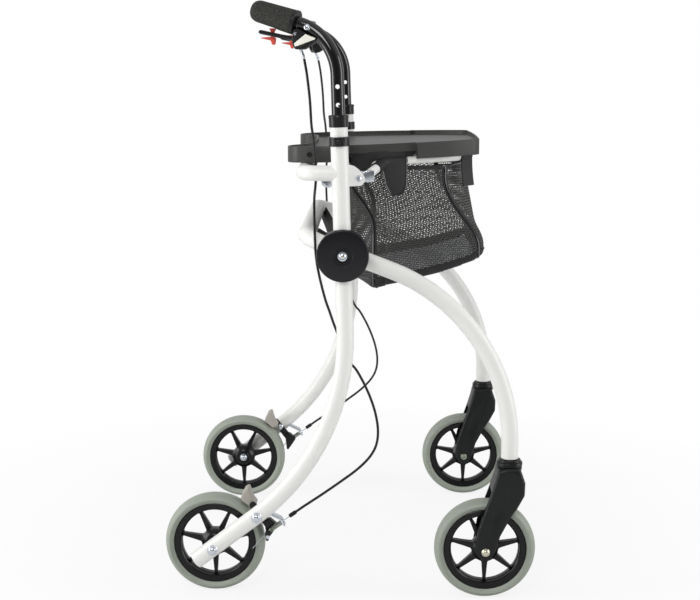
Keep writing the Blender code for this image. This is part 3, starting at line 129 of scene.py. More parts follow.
# %% Sky, lamps and floor
WHITE = (1.0, 1.0, 1.0, 1.0)
SKY_IN_FRONT = 0.10
SKY_AROUND = 0.66
FLOOR_GREY = (0.78, 0.78, 0.78, 1.0)
FLOOR_LIFT = 0.84
FLOOR_FADE = (0.35, 0.95)


def lamp(name, place, target, wide, high, power):
    """A lamp the shape of a rectangle, turned to a target."""
    light = bpy.data.lights.new(name, "AREA")
    light.shape = "RECTANGLE"
    light.size = wide
    light.size_y = high
    light.energy = power
    holder = bpy.data.objects.new(name, light)
    bpy.context.collection.objects.link(holder)
    holder.location = place
    holder.rotation_euler = (Vector(target) - Vector(place)).to_track_quat("-Z", "Y").to_euler()


def build_sky():
    """White for the camera, and for all else a grey that is darker behind the camera."""
    world = bpy.data.worlds.new("studio")
    bpy.context.scene.world = world
    world.use_nodes = True
    tree = world.node_tree
    tree.nodes.clear()
    rays = node(tree, "LightPath")
    way = node(tree, "TexCoord")
    parts = node(tree, "SeparateXYZ")
    turn = node(tree, "MapRange", {"From Min": -1.0, "From Max": -0.2, "To Min": SKY_IN_FRONT,
                                   "To Max": SKY_AROUND}, interpolation_type="SMOOTHSTEP")
    soft = node(tree, "Background", {"Color": WHITE})
    white = node(tree, "Background", {"Color": WHITE, "Strength": 1.0})
    mix = node(tree, "MixShader")
    out = node(tree, "OutputWorld")
    join(tree, (way, "Generated", parts, 0), (parts, "Y", turn, "Value"), (turn, "Result", soft, "Strength"),
         (rays, "Is Camera Ray", mix, "Fac"), (soft, 0, mix, 1), (white, 0, mix, 2), (mix, 0, out, "Surface"))


def build_floor():
    """A pale disc that glows a little for the camera, more and more with the distance."""
    bm = bmesh.new()
    bmesh.ops.create_circle(bm, cap_ends=True, segments=96, radius=14.0)
    mesh = bpy.data.meshes.new("floor")
    bm.to_mesh(mesh)
    bm.free()
    floor = bpy.data.objects.new("floor", mesh)
    bpy.context.collection.objects.link(floor)
    material = bpy.data.materials.new("pale_floor")
    material.use_nodes = True
    tree = material.node_tree
    tree.nodes.clear()
    rays = node(tree, "LightPath")
    place = node(tree, "TexCoord")
    far = node(tree, "VectorMath", operation="LENGTH")
    fade = node(tree, "MapRange", {"From Min": FLOOR_FADE[0], "From Max": FLOOR_FADE[1],
                                   "To Min": FLOOR_LIFT, "To Max": 1.0})
    share = node(tree, "Math", operation="MULTIPLY")
    matt = node(tree, "BsdfDiffuse", {"Color": FLOOR_GREY})
    white = node(tree, "Emission", {"Strength": 1.0})
    mix = node(tree, "MixShader")
    out = node(tree, "OutputMaterial")
    join(tree, (place, "Object", far, 0), (far, "Value", fade, "Value"), (fade, "Result", share, 0),
         (rays, "Is Camera Ray", share, 1), (share, 0, mix, "Fac"), (matt, 0, mix, 1), (white, 0, mix, 2),
         (mix, 0, out, "Surface"))
    mesh.materials.append(material)


build_sky()
build_floor()
lamp("key_lamp", (-0.6, -2.6, 2.2), (0.0, 0.0, 0.40), 1.2, 1.2, 30.0)
lamp("left_strip", (-2.2, -0.6, 0.9), (0.0, 0.0, 0.60), 0.80, 1.8, 25.0)
lamp("right_strip", (2.2, -0.5, 0.9), (0.0, 0.0, 0.60), 0.60, 1.8, 16.0)
bpy.context.scene.view_settings.view_transform = "Standard"
print("lamps:", len(bpy.data.lights))

# %% [markdown]
# ## Finishes
# A flat colour looks like plastic film, so each finish gets three things from noise at its own scale: the
# colour drifts a little, the roughness changes from place to place, and a bump breaks the highlight. One
# maker sets these up, and the finishes differ in their numbers. Patterns read Object coordinates, which
# stay put on the piece. Foam and yarn also get a second colour in specks.


# %% A maker of finishes
def finish(name, colour, rough, metal=0.0, drift=0.05, grain=900.0, bump=0.00004, swing=0.05, shine=0.5,
           speckle=None):
    """A surface with drifting colour and roughness, a fine bump and an optional second colour in specks."""
    material = bpy.data.materials.new(name)
    material.use_nodes = True
    tree = material.node_tree
    shader = tree.nodes["Principled BSDF"]
    shader.inputs["Metallic"].default_value = metal
    shader.inputs["Specular IOR Level"].default_value = shine
    place = node(tree, "TexCoord")
    broad = node(tree, "TexNoise", {"Scale": 28.0, "Detail": 3.0})
    fine = node(tree, "TexNoise", {"Scale": grain, "Detail": 2.0})
    darker = (*[max(0.0, c * (1.0 - drift)) for c in colour], 1.0)
    lighter = (*[min(1.0, c * (1.0 + drift)) for c in colour], 1.0)
    tint = node(tree, "Mix", {6: darker, 7: lighter}, data_type="RGBA")
    join(tree, (place, "Object", broad, "Vector"), (place, "Object", fine, "Vector"), (broad, "Fac", tint, 0))
    last = tint
    if speckle:
        edge = node(tree, "MapRange", {"From Min": 0.46, "From Max": 0.62})
        last = node(tree, "Mix", {7: (*speckle, 1.0)}, data_type="RGBA")
        join(tree, (fine, "Fac", edge, "Value"), (edge, "Result", last, 0), (tint, 2, last, 6))
    polish = node(tree, "MapRange", {"To Min": max(0.02, rough - swing), "To Max": min(1.0, rough + swing)})
    relief = node(tree, "Bump", {"Strength": 0.6, "Distance": bump})
    join(tree, (last, 2, shader, "Base Color"), (broad, "Fac", polish, "Value"),
         (polish, "Result", shader, "Roughness"), (fine, "Fac", relief, "Height"),
         (relief, "Normal", shader, "Normal"))
    return material


# %% [markdown]
# Tape and webbing are woven, and their pattern has to follow the cloth where it folds. Two crossing waves
# read the piece's own UV map, which is in metres, so that a thread is as wide on every piece.


# %% A maker of woven finishes
def weave_finish(name, colour, glint, pitch, rough=0.60, sheen=0.04):
    """Woven tape: two crossing waves along the piece's own UV map."""
    material = finish(name, colour, rough, drift=0.10, grain=2500.0, bump=0.0001)
    tree = material.node_tree
    shader = tree.nodes["Principled BSDF"]
    shader.inputs["Sheen Weight"].default_value = sheen
    shader.inputs["Sheen Roughness"].default_value = 0.4
    flat = node(tree, "UVMap", uv_map="cloth")
    cross = node(tree, "Math", operation="MULTIPLY")
    for k, direction in enumerate("XY"):
        wave = node(tree, "TexWave", {"Scale": 0.314 / pitch, "Distortion": 0.4, "Detail": 1.0},
                    bands_direction=direction)
        join(tree, (flat, "UV", wave, "Vector"), (wave, "Fac", cross, k))
    tint = node(tree, "Mix", {6: (*colour, 1.0), 7: (*glint, 1.0)}, data_type="RGBA")
    relief = node(tree, "Bump", {"Strength": 0.8, "Distance": 0.0003})
    join(tree, (cross, 0, tint, 0), (tint, 2, shader, "Base Color"), (cross, 0, relief, "Height"),
         (relief, "Normal", shader, "Normal"))
    return material


# %% The finishes of this rollator
WHITE_PAINT = finish("white_powder_coat", (0.87, 0.87, 0.845), 0.30, drift=0.010, grain=1400.0,
                     bump=0.000006)
WELD = finish("painted_weld", (0.80, 0.80, 0.76), 0.35, drift=0.05, grain=700.0, bump=0.0001)
BLACK_PAINT = finish("black_gloss_paint", (0.004, 0.004, 0.005), 0.10, drift=0.15, grain=500.0,
                     bump=0.000004, swing=0.03, shine=0.7)
DISC_BLACK = finish("glossy_black_plastic", (0.008, 0.008, 0.010), 0.24, drift=0.12, grain=1600.0,
                    bump=0.00001, shine=0.36)
SATIN_BLACK = finish("satin_black_plastic", (0.010, 0.010, 0.011), 0.30, drift=0.12, grain=1600.0,
                     bump=0.00002, shine=0.32)
RIM_BLACK = finish("rim_black_plastic", (0.007, 0.007, 0.008), 0.22, drift=0.12, grain=1200.0,
                   bump=0.00002, shine=0.28)
FORK_BLACK = finish("fork_matt_plastic", (0.007, 0.008, 0.008), 0.36, drift=0.12, grain=1500.0,
                    bump=0.00004, shine=0.30)
TRAY_BLACK = finish("tray_grained_plastic", (0.052, 0.054, 0.050), 0.38, drift=0.10, grain=1100.0,
                    bump=0.00005, shine=0.28)
FOAM = finish("grip_foam", (0.020, 0.020, 0.018), 0.85, drift=0.15, grain=750.0, bump=0.00030, shine=0.3,
              speckle=(0.062, 0.063, 0.055))
TYRE_RUBBER = finish("grey_tyre_rubber", (0.320, 0.350, 0.295), 0.45)
ZINC = finish("bright_zinc", (0.70, 0.74, 0.80), 0.22, metal=1.0, drift=0.06, grain=1200.0, bump=0.000004)
YELLOW_ZINC = finish("yellow_zinc", (0.72, 0.70, 0.55), 0.28, metal=1.0, drift=0.12, grain=1200.0,
                     bump=0.00003)
SPRING_STEEL = finish("spring_steel", (0.36, 0.40, 0.33), 0.30, metal=1.0, drift=0.12, grain=1500.0,
                      bump=0.00002)
RED_PLASTIC = finish("red_lock_plastic", (0.70, 0.085, 0.060), 0.34, drift=0.06, grain=1500.0, bump=0.00003)
SHOE_RUBBER = finish("warm_grey_shoe", (0.400, 0.375, 0.335), 0.50, drift=0.08, grain=700.0, bump=0.00008)
# The cream plate's colour paints the lamp's reflection in the glossy black face of each brake bracket.
PAINTED_REFLECTION_PLATE = finish("painted_reflection_plate", (0.80, 0.79, 0.72), 0.32, drift=0.03, grain=1200.0, bump=0.00002)
YARN = finish("net_yarn", (0.034, 0.035, 0.033), 0.55, drift=0.2, grain=2600.0, bump=0.0002, shine=0.4,
              speckle=(0.100, 0.104, 0.096))
# The floor net's lighter, bluer yarn paints the sheen of the light from above on the basket's floor.
FLOOR_YARN_PAINTED_SHEEN = finish("floor_net_yarn_painted_sheen", (0.150, 0.155, 0.180), 0.50, drift=0.2, grain=2600.0, bump=0.0001,
                    speckle=(0.250, 0.260, 0.300))
SHEATH = finish("cable_sheath", (0.008, 0.008, 0.009), 0.28, drift=0.12, grain=1000.0, bump=0.00002,
                shine=0.4)
TAPE = weave_finish("black_tape", (0.004, 0.004, 0.004), (0.016, 0.016, 0.016), 0.0016)
WEBBING = weave_finish("black_webbing", (0.004, 0.004, 0.004), (0.014, 0.014, 0.014), 0.0018)
print("finishes made:", len(bpy.data.materials))

# %% [markdown]
# ## Tools for shapes
# Four ways of making a solid cover the whole rollator: a tube swept along a line, a profile turned on a
# lathe, a plate cut to an outline, and a solid with others carved out of it. Each returns a bmesh, and one
# function turns it into a finished piece that rides on a body and stands for its solid. A few small tools
# for lines come first, because every bend and every smooth change of width uses them.


# %% Lines
def smooth(value, low, high):
    """A share that goes from 0 to 1 between two values, gently at both ends."""
    share = min(1.0, max(0.0, (value - low) / (high - low)))
    return share * share * (3.0 - 2.0 * share)


def flow(p0, p1, p2, p3, t):
    """A point between the middle two of four on a smooth curve through them."""
    return (p1 * 2.0 + (p2 - p0) * t + (p0 * 2.0 - p1 * 5.0 + p2 * 4.0 - p3) * t ** 2
            + (p1 * 3.0 - p0 - p2 * 3.0 + p3) * t ** 3) * 0.5


def walked_along(points):
    """The length of a line up to each of its points."""
    walked = [0.0]
    for a, b in zip(points, points[1:]):
        walked.append(walked[-1] + (b - a).length)
    return walked


def arc(start, tangent, normal, radius, turn, steps):
    """Points along an arc, without its start."""
    points = []
    for k in range(1, steps + 1):
        a = turn * k / steps
        points.append(start + tangent * (radius * math.sin(a)) + normal * (radius * (1.0 - math.cos(a))))
    return points


def rounded(corners, radii, closed=True, step=math.radians(12.0)):
    """A line through corners, in a plane or in space, with each corner rounded by its own radius."""
    points = []
    count = len(corners)
    for i, (corner, radius) in enumerate(zip(corners, radii)):
        here = Vector(corner)
        if radius <= 0.0 or (not closed and i in (0, count - 1)):
            points.append(here)
            continue
        back = Vector(corners[i - 1]) - here
        ahead = Vector(corners[(i + 1) % count]) - here
        half = back.angle(ahead) / 2.0
        reach = min(radius / math.tan(half), 0.49 * back.length, 0.49 * ahead.length)
        turn = math.pi - 2.0 * half
        tangent = -back.normalized()
        away = ahead.normalized()
        normal = (away - tangent * away.dot(tangent)).normalized()
        first = here - tangent * reach
        points.append(first)
        points += arc(first, tangent, normal, reach * math.tan(half), turn, max(2, math.ceil(turn / step)))
    return points


def flowing(route, spacing):
    """Points at an even spacing on a smooth curve through the route."""
    fine = []
    padded = [route[0] * 2.0 - route[1]] + list(route) + [route[-1] * 2.0 - route[-2]]
    for i in range(1, len(padded) - 2):
        p0, p1, p2, p3 = padded[i - 1:i + 3]
        fine += [flow(p0, p1, p2, p3, k / 24.0) for k in range(24)]
    fine.append(route[-1])
    total = walked_along(fine)[-1]
    count = max(2, round(total / spacing))
    points = [fine[0]]
    walked = 0.0
    for a, b in zip(fine, fine[1:]):
        part = (b - a).length
        while part > 0.0 and walked + part >= total / count * len(points) - 1e-9 and len(points) < count:
            points.append(a.lerp(b, (total / count * len(points) - walked) / part))
        walked += part
    points.append(fine[-1])
    return points


# %% Tube, lathe, plate
def tube(points, radius, sides=32, closed=False):
    """A round bar or tube along a line, with its ends closed."""
    curve = bpy.data.curves.new("line", "CURVE")
    curve.dimensions = "3D"
    curve.bevel_depth = radius
    curve.bevel_resolution = (sides - 4) // 2
    curve.use_fill_caps = not closed
    spline = curve.splines.new("POLY")
    spline.points.add(len(points) - 1)
    spline.use_cyclic_u = closed
    for spot, point in zip(spline.points, points):
        spot.co = (*point, 1.0)
    carrier = bpy.data.objects.new("line", curve)
    bpy.context.collection.objects.link(carrier)
    bpy.context.view_layer.update()
    mesh = bpy.data.meshes.new_from_object(carrier.evaluated_get(bpy.context.evaluated_depsgraph_get()))
    bm = bmesh.new()
    bm.from_mesh(mesh)
    bpy.data.objects.remove(carrier, do_unlink=True)
    bpy.data.curves.remove(curve)
    bpy.data.meshes.remove(mesh)
    return bm


def turned(profile, centre, axis, steps=48, closed=False):
    """A profile of (radius, distance along the axis) turned once round the axis."""
    axis = Vector(axis).normalized()
    centre = Vector(centre)
    out = axis.orthogonal().normalized()
    bm = bmesh.new()
    verts = [bm.verts.new(centre + out * r + axis * h) for r, h in profile]
    pairs = list(zip(verts, verts[1:])) + ([(verts[-1], verts[0])] if closed else [])
    edges = [bm.edges.new(pair) for pair in pairs]
    bmesh.ops.spin(bm, geom=verts + edges, cent=centre, axis=axis, dvec=(0.0, 0.0, 0.0), angle=2.0 * math.pi,
                   steps=steps, use_merge=True, use_duplicate=False)
    bmesh.ops.remove_doubles(bm, verts=bm.verts, dist=1e-6)
    bmesh.ops.recalc_face_normals(bm, faces=bm.faces)
    return bm


def plate(outline, place, near, far, edge=0.0, segments=3):
    """An outline given thickness between two distances, with its edges rounded."""
    bm = bmesh.new()
    face = bm.faces.new([bm.verts.new(place(u, v, near)) for u, v in outline])
    grown = bmesh.ops.extrude_face_region(bm, geom=[face])
    moved = [item for item in grown["geom"] if isinstance(item, bmesh.types.BMVert)]
    bmesh.ops.translate(bm, verts=moved, vec=place(0.0, 0.0, far) - place(0.0, 0.0, near))
    bmesh.ops.recalc_face_normals(bm, faces=bm.faces)
    return ease(bm, edge, segments) if edge else bm


def ease(bm, width, segments=3, above=30.0):
    """Round every edge that is sharper than an angle."""
    sharp = [e for e in bm.edges if len(e.link_faces) == 2 and e.calc_face_angle() > math.radians(above)]
    bmesh.ops.bevel(bm, geom=sharp, offset=width, offset_type="OFFSET", affect="EDGES", segments=segments,
                    profile=0.5, material=-1, clamp_overlap=True)
    return bm


def rod(start, end, radius, sides=32):
    """A plain cutter between two points."""
    start = Vector(start)
    axis = Vector(end) - start
    return turned([(0.0, 0.0), (radius, 0.0), (radius, axis.length), (0.0, axis.length)], start, axis, sides)


def side_plane(side, x=0.0, z=0.0):
    """A function that places an outline drawn from the side, with its distance outboard."""
    return lambda u, v, w: Vector((x + u, side * w, z + v))


# %% Carve, join, finish
def as_object(bm, name):
    """A mesh object at the origin, made from a bmesh."""
    mesh = bpy.data.meshes.new(name)
    bm.to_mesh(mesh)
    bm.free()
    obj = bpy.data.objects.new(name, mesh)
    bpy.context.collection.objects.link(obj)
    return obj


def carve(bm, cutters, way="DIFFERENCE"):
    """Cut other solids out of one, or fuse them to it."""
    base = as_object(bm, "base")
    tools = [as_object(cutter, "tool") for cutter in cutters]
    for tool in tools:
        cut = base.modifiers.new("cut", "BOOLEAN")
        cut.operation = way
        cut.solver = "EXACT"
        cut.object = tool
    bpy.context.view_layer.update()
    mesh = bpy.data.meshes.new_from_object(base.evaluated_get(bpy.context.evaluated_depsgraph_get()))
    result = bmesh.new()
    result.from_mesh(mesh)
    for obj in [base] + tools:
        data = obj.data
        bpy.data.objects.remove(obj, do_unlink=True)
        bpy.data.meshes.remove(data)
    bpy.data.meshes.remove(mesh)
    return result


def together(first, *others):
    """One bmesh that holds several separate shells."""
    for other in others:
        mesh = bpy.data.meshes.new("shell")
        other.to_mesh(mesh)
        other.free()
        first.from_mesh(mesh)
        bpy.data.meshes.remove(mesh)
    return first


def piece(name, bm, material, body, stands_for=None, crease=32.0):
    """A finished piece, smooth but for its creases, that rides on a body and replaces its solid."""
    bmesh.ops.remove_doubles(bm, verts=bm.verts, dist=1e-6)
    bmesh.ops.recalc_face_normals(bm, faces=bm.faces)
    for face in bm.faces:
        face.smooth = True
    for edge in bm.edges:
        edge.smooth = len(edge.link_faces) == 2 and edge.calc_face_angle() < math.radians(crease)
    obj = as_object(bm, name)
    obj.data.materials.append(material)
    if body:
        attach(obj, body)
    solid = stands_for or name
    if solid in frame["nodes"]:
        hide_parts(solid)
    print(name, len(obj.data.polygons), "faces")
    return obj


# %% [markdown]
# ## Rear legs
# Each rear leg is one steel tube, 25 mm across, that leaves the rear wheel at a slope, bends through a wide
# arc and rises as a slightly leaning upright. A swept circle does this in one piece, with an arc of many
# short steps so that the white paint shows an unbroken highlight. The lower end is cut off square and left
# open. A small gusset plate is welded to the front of the upright and takes the screw of the support loop.

# %% Sizes of the rear leg
TUBE_R = 0.0125
LEG_Y = 0.255
REAR_AXLE = joint_point("rear_wheel_right_spin")
LEG_SLOPE = math.radians(37.6)
LEG_TAIL = 0.033
LEG_STRAIGHT = 0.080
LEG_BEND_R = 0.341
LEAN = math.radians(1.73)
LEG_TOP_Z = 0.708
LEG_WALL = 0.0016
LEG_ALONG = Vector((math.cos(LEG_SLOPE), 0.0, math.sin(LEG_SLOPE)))
LEG_UP = Vector((-math.sin(LEG_SLOPE), 0.0, math.cos(LEG_SLOPE)))
LEAN_AXIS = Vector((-math.sin(LEAN), 0.0, math.cos(LEAN)))


def leg_point(side, along, below=0.0):
    """A point of the leg's sloping part, by its distance up from the axle, and how far it lies below."""
    spot = Vector((REAR_AXLE.x, 0.0, REAR_AXLE.z)) + LEG_ALONG * along - LEG_UP * below
    return Vector((spot.x, side * LEG_Y, spot.z))


def leg_line(side):
    """The leg's axis from its tail to the end of its bend."""
    bend = leg_point(side, LEG_STRAIGHT)
    turn = math.pi / 2.0 + LEAN - LEG_SLOPE
    return [leg_point(side, -LEG_TAIL), bend] + arc(bend, LEG_ALONG, LEG_UP, LEG_BEND_R, turn, 40)


def upright(side, z):
    """The point of the upright's axis at a height."""
    end = leg_line(side)[-1]
    return Vector((end.x - (z - end.z) * math.tan(LEAN), side * LEG_Y, z))


print("the leg's bend ends at a height of", round(leg_line(1.0)[-1].z, 4))

# %% Build the rear legs with their gussets
SCREW = joint_point("basket_fold")
GUSSET = [(-0.0147, 0.0199), (-0.0060, 0.0173), (0.0005, 0.0125), (0.0065, 0.0061), (0.0093, 0.0003),
          (0.0091, -0.0047), (0.0045, -0.0107), (-0.0140, -0.0113)]
GUSSET_RADII = [0.0, 0.006, 0.006, 0.005, 0.005, 0.006, 0.006, 0.0]
GUSSET_HALF = 0.0015


def build_leg(word, side):
    leg = tube(leg_line(side) + [upright(side, LEG_TOP_Z)], TUBE_R, 40)
    bore = rod(leg_point(side, -LEG_TAIL - 0.01), leg_point(side, -LEG_TAIL + 0.03), TUBE_R - LEG_WALL, 40)
    leg = carve(leg, [bore])
    web = plate(rounded(GUSSET, GUSSET_RADII), side_plane(side, SCREW.x, SCREW.z), LEG_Y - GUSSET_HALF,
                LEG_Y + GUSSET_HALF, 0.0004)
    piece("rear_leg_" + word, together(leg, web), WHITE_PAINT, "rear_frame")


on_both_sides(build_leg)

# %% [markdown]
# ## Rear crossbar
# A thinner tube joins the uprights behind the tray. Its welds are beads that follow the curve where the two
# round tubes meet, so the bead's line is worked out from both radii, with a small wave in it, and swept
# thin. Its height follows from the tray, which lies just above it.

# %% Build the crossbar and its welds
CROSS_R = 0.011
BEAD_R = 0.0007
TRAY_TOP_Z = 0.6675
TRAY_RISE = 0.030
TRAY_DEEP = 0.0235
GAP = 0.0003
CROSS_X = -0.065
CROSS_Z = TRAY_TOP_Z + CROSS_X * TRAY_RISE - TRAY_DEEP - GAP - CROSS_R


def build_crossbar():
    corners = []
    for side in (-1.0, 1.0):
        ends = [Vector((upright(side, CROSS_Z).x - 0.004, side * LEG_Y, CROSS_Z)),
                Vector((CROSS_X, side * LEG_Y, CROSS_Z))]
        corners += ends if side < 0 else ends[::-1]
    line = rounded(corners, [0.0, 0.035, 0.035, 0.0], closed=False, step=math.radians(5.0))
    piece("rear_crossbar", tube(line, CROSS_R, 36), WHITE_PAINT, "rear_frame")
    for word, side in SIDES:
        centre = upright(side, CROSS_Z)
        line = []
        for k in range(40):
            a = 2.0 * math.pi * k / 40
            across = (CROSS_R + 0.0003) * math.cos(a)
            reach = math.sqrt((TUBE_R + 0.0002) ** 2 - across ** 2)
            swell = 0.0002 * math.sin(9.0 * a)
            line.append(centre + Vector((-reach - swell, across, (CROSS_R + 0.0003 + swell) * math.sin(a))))
        piece("crossbar_weld_" + word, tube(line, BEAD_R, 10, closed=True), WELD, "rear_frame")


build_crossbar()

# %% [markdown]
# ## Front frame
# The front legs and the cross tube between them are one bent tube: it crosses behind the hinge, runs
# forward and down, and bends to stand upright over each caster. Its sides also spread a little on the way
# down. The line is the same as the solid's, with more points in its bends.

# %% Build the front frame
PIVOT = joint_point("front_fold")
FRAME_Y_TOP = LEG_Y - 0.0270
FRAME_Y_LOW = LEG_Y - 0.0095
FRAME_SLOPE = math.radians(21.0)
FRAME_BACK = 0.058
FRAME_BEND_R = 0.270
FRAME_CORNER_R = 0.045
FRAME_LOW_Z = 0.213
CASTER = joint_point("caster_right_swivel")
FRAME_ALONG = Vector((math.cos(FRAME_SLOPE), 0.0, -math.sin(FRAME_SLOPE)))
FRAME_UP = Vector((math.sin(FRAME_SLOPE), 0.0, math.cos(FRAME_SLOPE)))


def frame_side(side):
    """The line of one front leg, from just ahead of the hinge down to the caster."""
    pivot = Vector((PIVOT.x, side * FRAME_Y_TOP, PIVOT.z))
    normal = -FRAME_UP
    turn = math.pi / 2.0 - FRAME_SLOPE
    reach = FRAME_ALONG.x * math.sin(turn) + normal.x * (1.0 - math.cos(turn))
    straight = (CASTER.x - PIVOT.x - FRAME_BEND_R * reach) / FRAME_ALONG.x
    line = [pivot + FRAME_ALONG * (0.020 + (straight - 0.020) * k / 6.0) for k in range(7)]
    line += arc(line[-1], FRAME_ALONG, normal, FRAME_BEND_R, turn, 30)
    walked = walked_along(line)
    for point, length in zip(line, walked):
        point.y = side * (FRAME_Y_TOP + (FRAME_Y_LOW - FRAME_Y_TOP) * smooth(length, 0.0, walked[-1]))
    line.append(Vector((line[-1].x, line[-1].y, FRAME_LOW_Z)))
    return line


def build_front_frame():
    corners = []
    for side in (-1.0, 1.0):
        pivot = Vector((PIVOT.x, side * FRAME_Y_TOP, PIVOT.z))
        pair = [pivot + FRAME_ALONG * 0.010, pivot - FRAME_ALONG * FRAME_BACK]
        corners += pair if side < 0 else pair[::-1]
    radii = [0.0, FRAME_CORNER_R, FRAME_CORNER_R, 0.0]
    middle = rounded(corners, radii, closed=False, step=math.radians(5.0))
    line = frame_side(-1.0)[::-1] + middle + frame_side(1.0)
    piece("front_frame", tube(line, TUBE_R, 40), WHITE_PAINT, "front_frame")


build_front_frame()

# %% [markdown]
# ## Hinge discs
# A black plastic disc caps the hinge between the frames on each side, with a low ring round its bolt. A
# lathe profile gives the slightly domed disc, its rounded rim and the ring at once, and a rod the size of
# the upright is carved out of its back.

# %% Build the hinge discs and bolts
DISC_R = 0.0375
DISC_IN = LEG_Y + 0.004
DISC_OUT = DISC_IN + 0.016
DISC_EDGE = 0.0022


def bolt_head(centre, axis, washer, head, high):
    """A washer with a domed nut, from the surface that it is tightened on."""
    profile = [(0.0, 0.0), (washer, 0.0), (washer, 0.0008), (washer - 0.0004, 0.0013),
               (head + 0.0004, 0.0015), (head, 0.0019)]
    for k in range(9):
        a = math.pi / 2.0 * k / 8
        profile.append((head * math.cos(a) ** 0.7, 0.0019 + (high - 0.0019) * math.sin(a)))
    return turned(profile, centre, axis, 40)


def build_hinge(word, side):
    centre = Vector((PIVOT.x, 0.0, PIVOT.z))
    axis = Vector((0.0, side, 0.0))
    edge = []
    for k in range(7):
        a = math.pi / 2.0 * k / 6
        edge.append((DISC_R - DISC_EDGE + DISC_EDGE * math.cos(a),
                     DISC_OUT - DISC_EDGE + DISC_EDGE * math.sin(a)))
    profile = [(0.0, DISC_IN), (DISC_R - 0.003, DISC_IN), (DISC_R, DISC_IN + 0.003)] + edge
    profile += [(0.0290, DISC_OUT + 0.0005), (0.0220, DISC_OUT + 0.0008), (0.0152, DISC_OUT + 0.0009),
                (0.0140, DISC_OUT + 0.0001), (0.0124, DISC_OUT + 0.0001), (0.0116, DISC_OUT + 0.0010),
                (0.0098, DISC_OUT + 0.0010), (0.0090, DISC_OUT - 0.0008), (0.0, DISC_OUT - 0.0008)]
    disc = turned(profile, centre, axis, 96)
    post = rod(upright(side, PIVOT.z - 0.06), upright(side, PIVOT.z + 0.06), TUBE_R + GAP, 40)
    piece("hinge_disc_" + word, carve(disc, [post]), DISC_BLACK, "rear_frame")
    head = bolt_head(centre + axis * (DISC_OUT - 0.0008), axis, 0.0072, 0.0046, 0.0050)
    inner = FRAME_Y_TOP - TUBE_R
    tail = bolt_head(centre + axis * (inner - 0.0003), -axis, 0.0075, 0.0058, 0.0060)
    spacer = turned([(0.0, FRAME_Y_TOP + TUBE_R), (0.0085, FRAME_Y_TOP + TUBE_R), (0.0085, LEG_Y - TUBE_R),
                     (0.0, LEG_Y - TUBE_R)], centre, axis, 32)
    piece("hinge_bolt_" + word, together(head, tail, spacer), ZINC, "rear_frame", "pivot_bolt_" + word)
    cap = turned([(0.0, DISC_OUT + 0.0042), (0.0022, DISC_OUT + 0.0042), (0.0018, DISC_OUT + 0.0044),
                  (0.0, DISC_OUT + 0.0045)], centre, axis, 24)
    piece("hinge_bolt_end_" + word, cap, YELLOW_ZINC, "rear_frame")


on_both_sides(build_hinge)

# %% [markdown]
# ## Wheels
# A wheel is a grey tyre on a glossy black rim with seven spokes. The spokes are what is left when seven
# rounded triangles are cut out of one web, which flares towards the hub, so the web is turned on a lathe
# and the triangles are carved out of it. The cut edges are eased afterwards, because a moulded rim has no
# sharp ones.

# %% Sizes and parts of a wheel
WHEEL_R = 0.075
TYRE_HALF = 0.015
RIM_R = 0.0615
RIM_HALF = 0.012
HUB_HALF = 0.015
SPOKES = 7
OPENING_OUT = 0.0500
OPENING_IN = 0.0205
SPOKE_HALF_OUT = 0.0021
SPOKE_HALF_IN = 0.0044
TREAD_DEEP = 0.0105
TREAD_TURN = math.radians(78.0)


def tyre_profile():
    """From one side of the rim over a rounded tread to the other."""
    profile = [(RIM_R, -RIM_HALF + 0.0006), (RIM_R + 0.0008, -RIM_HALF - 0.0004),
               (RIM_R + 0.0030, -TYRE_HALF + 0.0010)]
    for k in range(21):
        a = TREAD_TURN * (k / 10.0 - 1.0)
        profile.append((WHEEL_R - TREAD_DEEP + TREAD_DEEP * math.cos(a) ** 0.75,
                        TYRE_HALF * math.sin(a) / math.sin(TREAD_TURN)))
    return profile + [(r, -h) for r, h in profile[2::-1]]


def rim_bm(centre):
    """The rim's channel, and a web with the openings between the spokes carved out."""
    axis = (0.0, 1.0, 0.0)
    channel = [(0.0512, -0.0092), (0.0524, -0.0106), (0.0600, -0.0119), (RIM_R, -0.0108), (RIM_R, 0.0108),
               (0.0600, 0.0119), (0.0524, 0.0106), (0.0512, 0.0092), (0.0506, 0.0040), (0.0506, -0.0040)]
    channel = turned(channel, centre, axis, 84, closed=True)
    half = [(0.0, 0.0138), (0.0072, 0.0138), (0.0080, HUB_HALF), (0.0098, HUB_HALF), (0.0106, 0.0140),
            (0.0126, 0.0136), (0.0152, 0.0118), (0.0180, 0.0082), (0.0225, 0.0056), (0.0320, 0.0046),
            (0.0515, 0.0043)]
    web = turned(half + [(r, -h) for r, h in half[::-1]], centre, axis, 84)
    cutters = []
    for k in range(SPOKES):
        turn = -math.pi / 2.0 + 2.0 * math.pi * (k + 0.5) / SPOKES
        a = Vector((math.cos(turn), 0.0, math.sin(turn)))
        b = Vector((-math.sin(turn), 0.0, math.cos(turn)))
        wide = math.pi / SPOKES - math.asin(SPOKE_HALF_OUT / OPENING_OUT)
        narrow = math.pi / SPOKES - math.asin(SPOKE_HALF_IN / OPENING_IN)
        corners = [(OPENING_IN * math.cos(narrow), -OPENING_IN * math.sin(narrow))]
        corners += [(OPENING_OUT * math.cos(t), OPENING_OUT * math.sin(t))
                    for t in [-wide + 2.0 * wide * j / 8 for j in range(9)]]
        corners.append((OPENING_IN * math.cos(narrow), OPENING_IN * math.sin(narrow)))
        outline = rounded(corners, [0.0028, 0.0045] + [0.0] * 7 + [0.0045, 0.0028])
        cutters.append(plate(outline, lambda u, v, w, a=a, b=b: Vector(centre) + a * u + b * v
                             + Vector((0.0, w, 0.0)), -0.03, 0.03))
    web = carve(web, cutters)
    return together(channel, ease(web, 0.0007, 2, above=50.0))


# %% Build the four wheels
REAR_WHEEL_Y = LEG_Y - 0.031


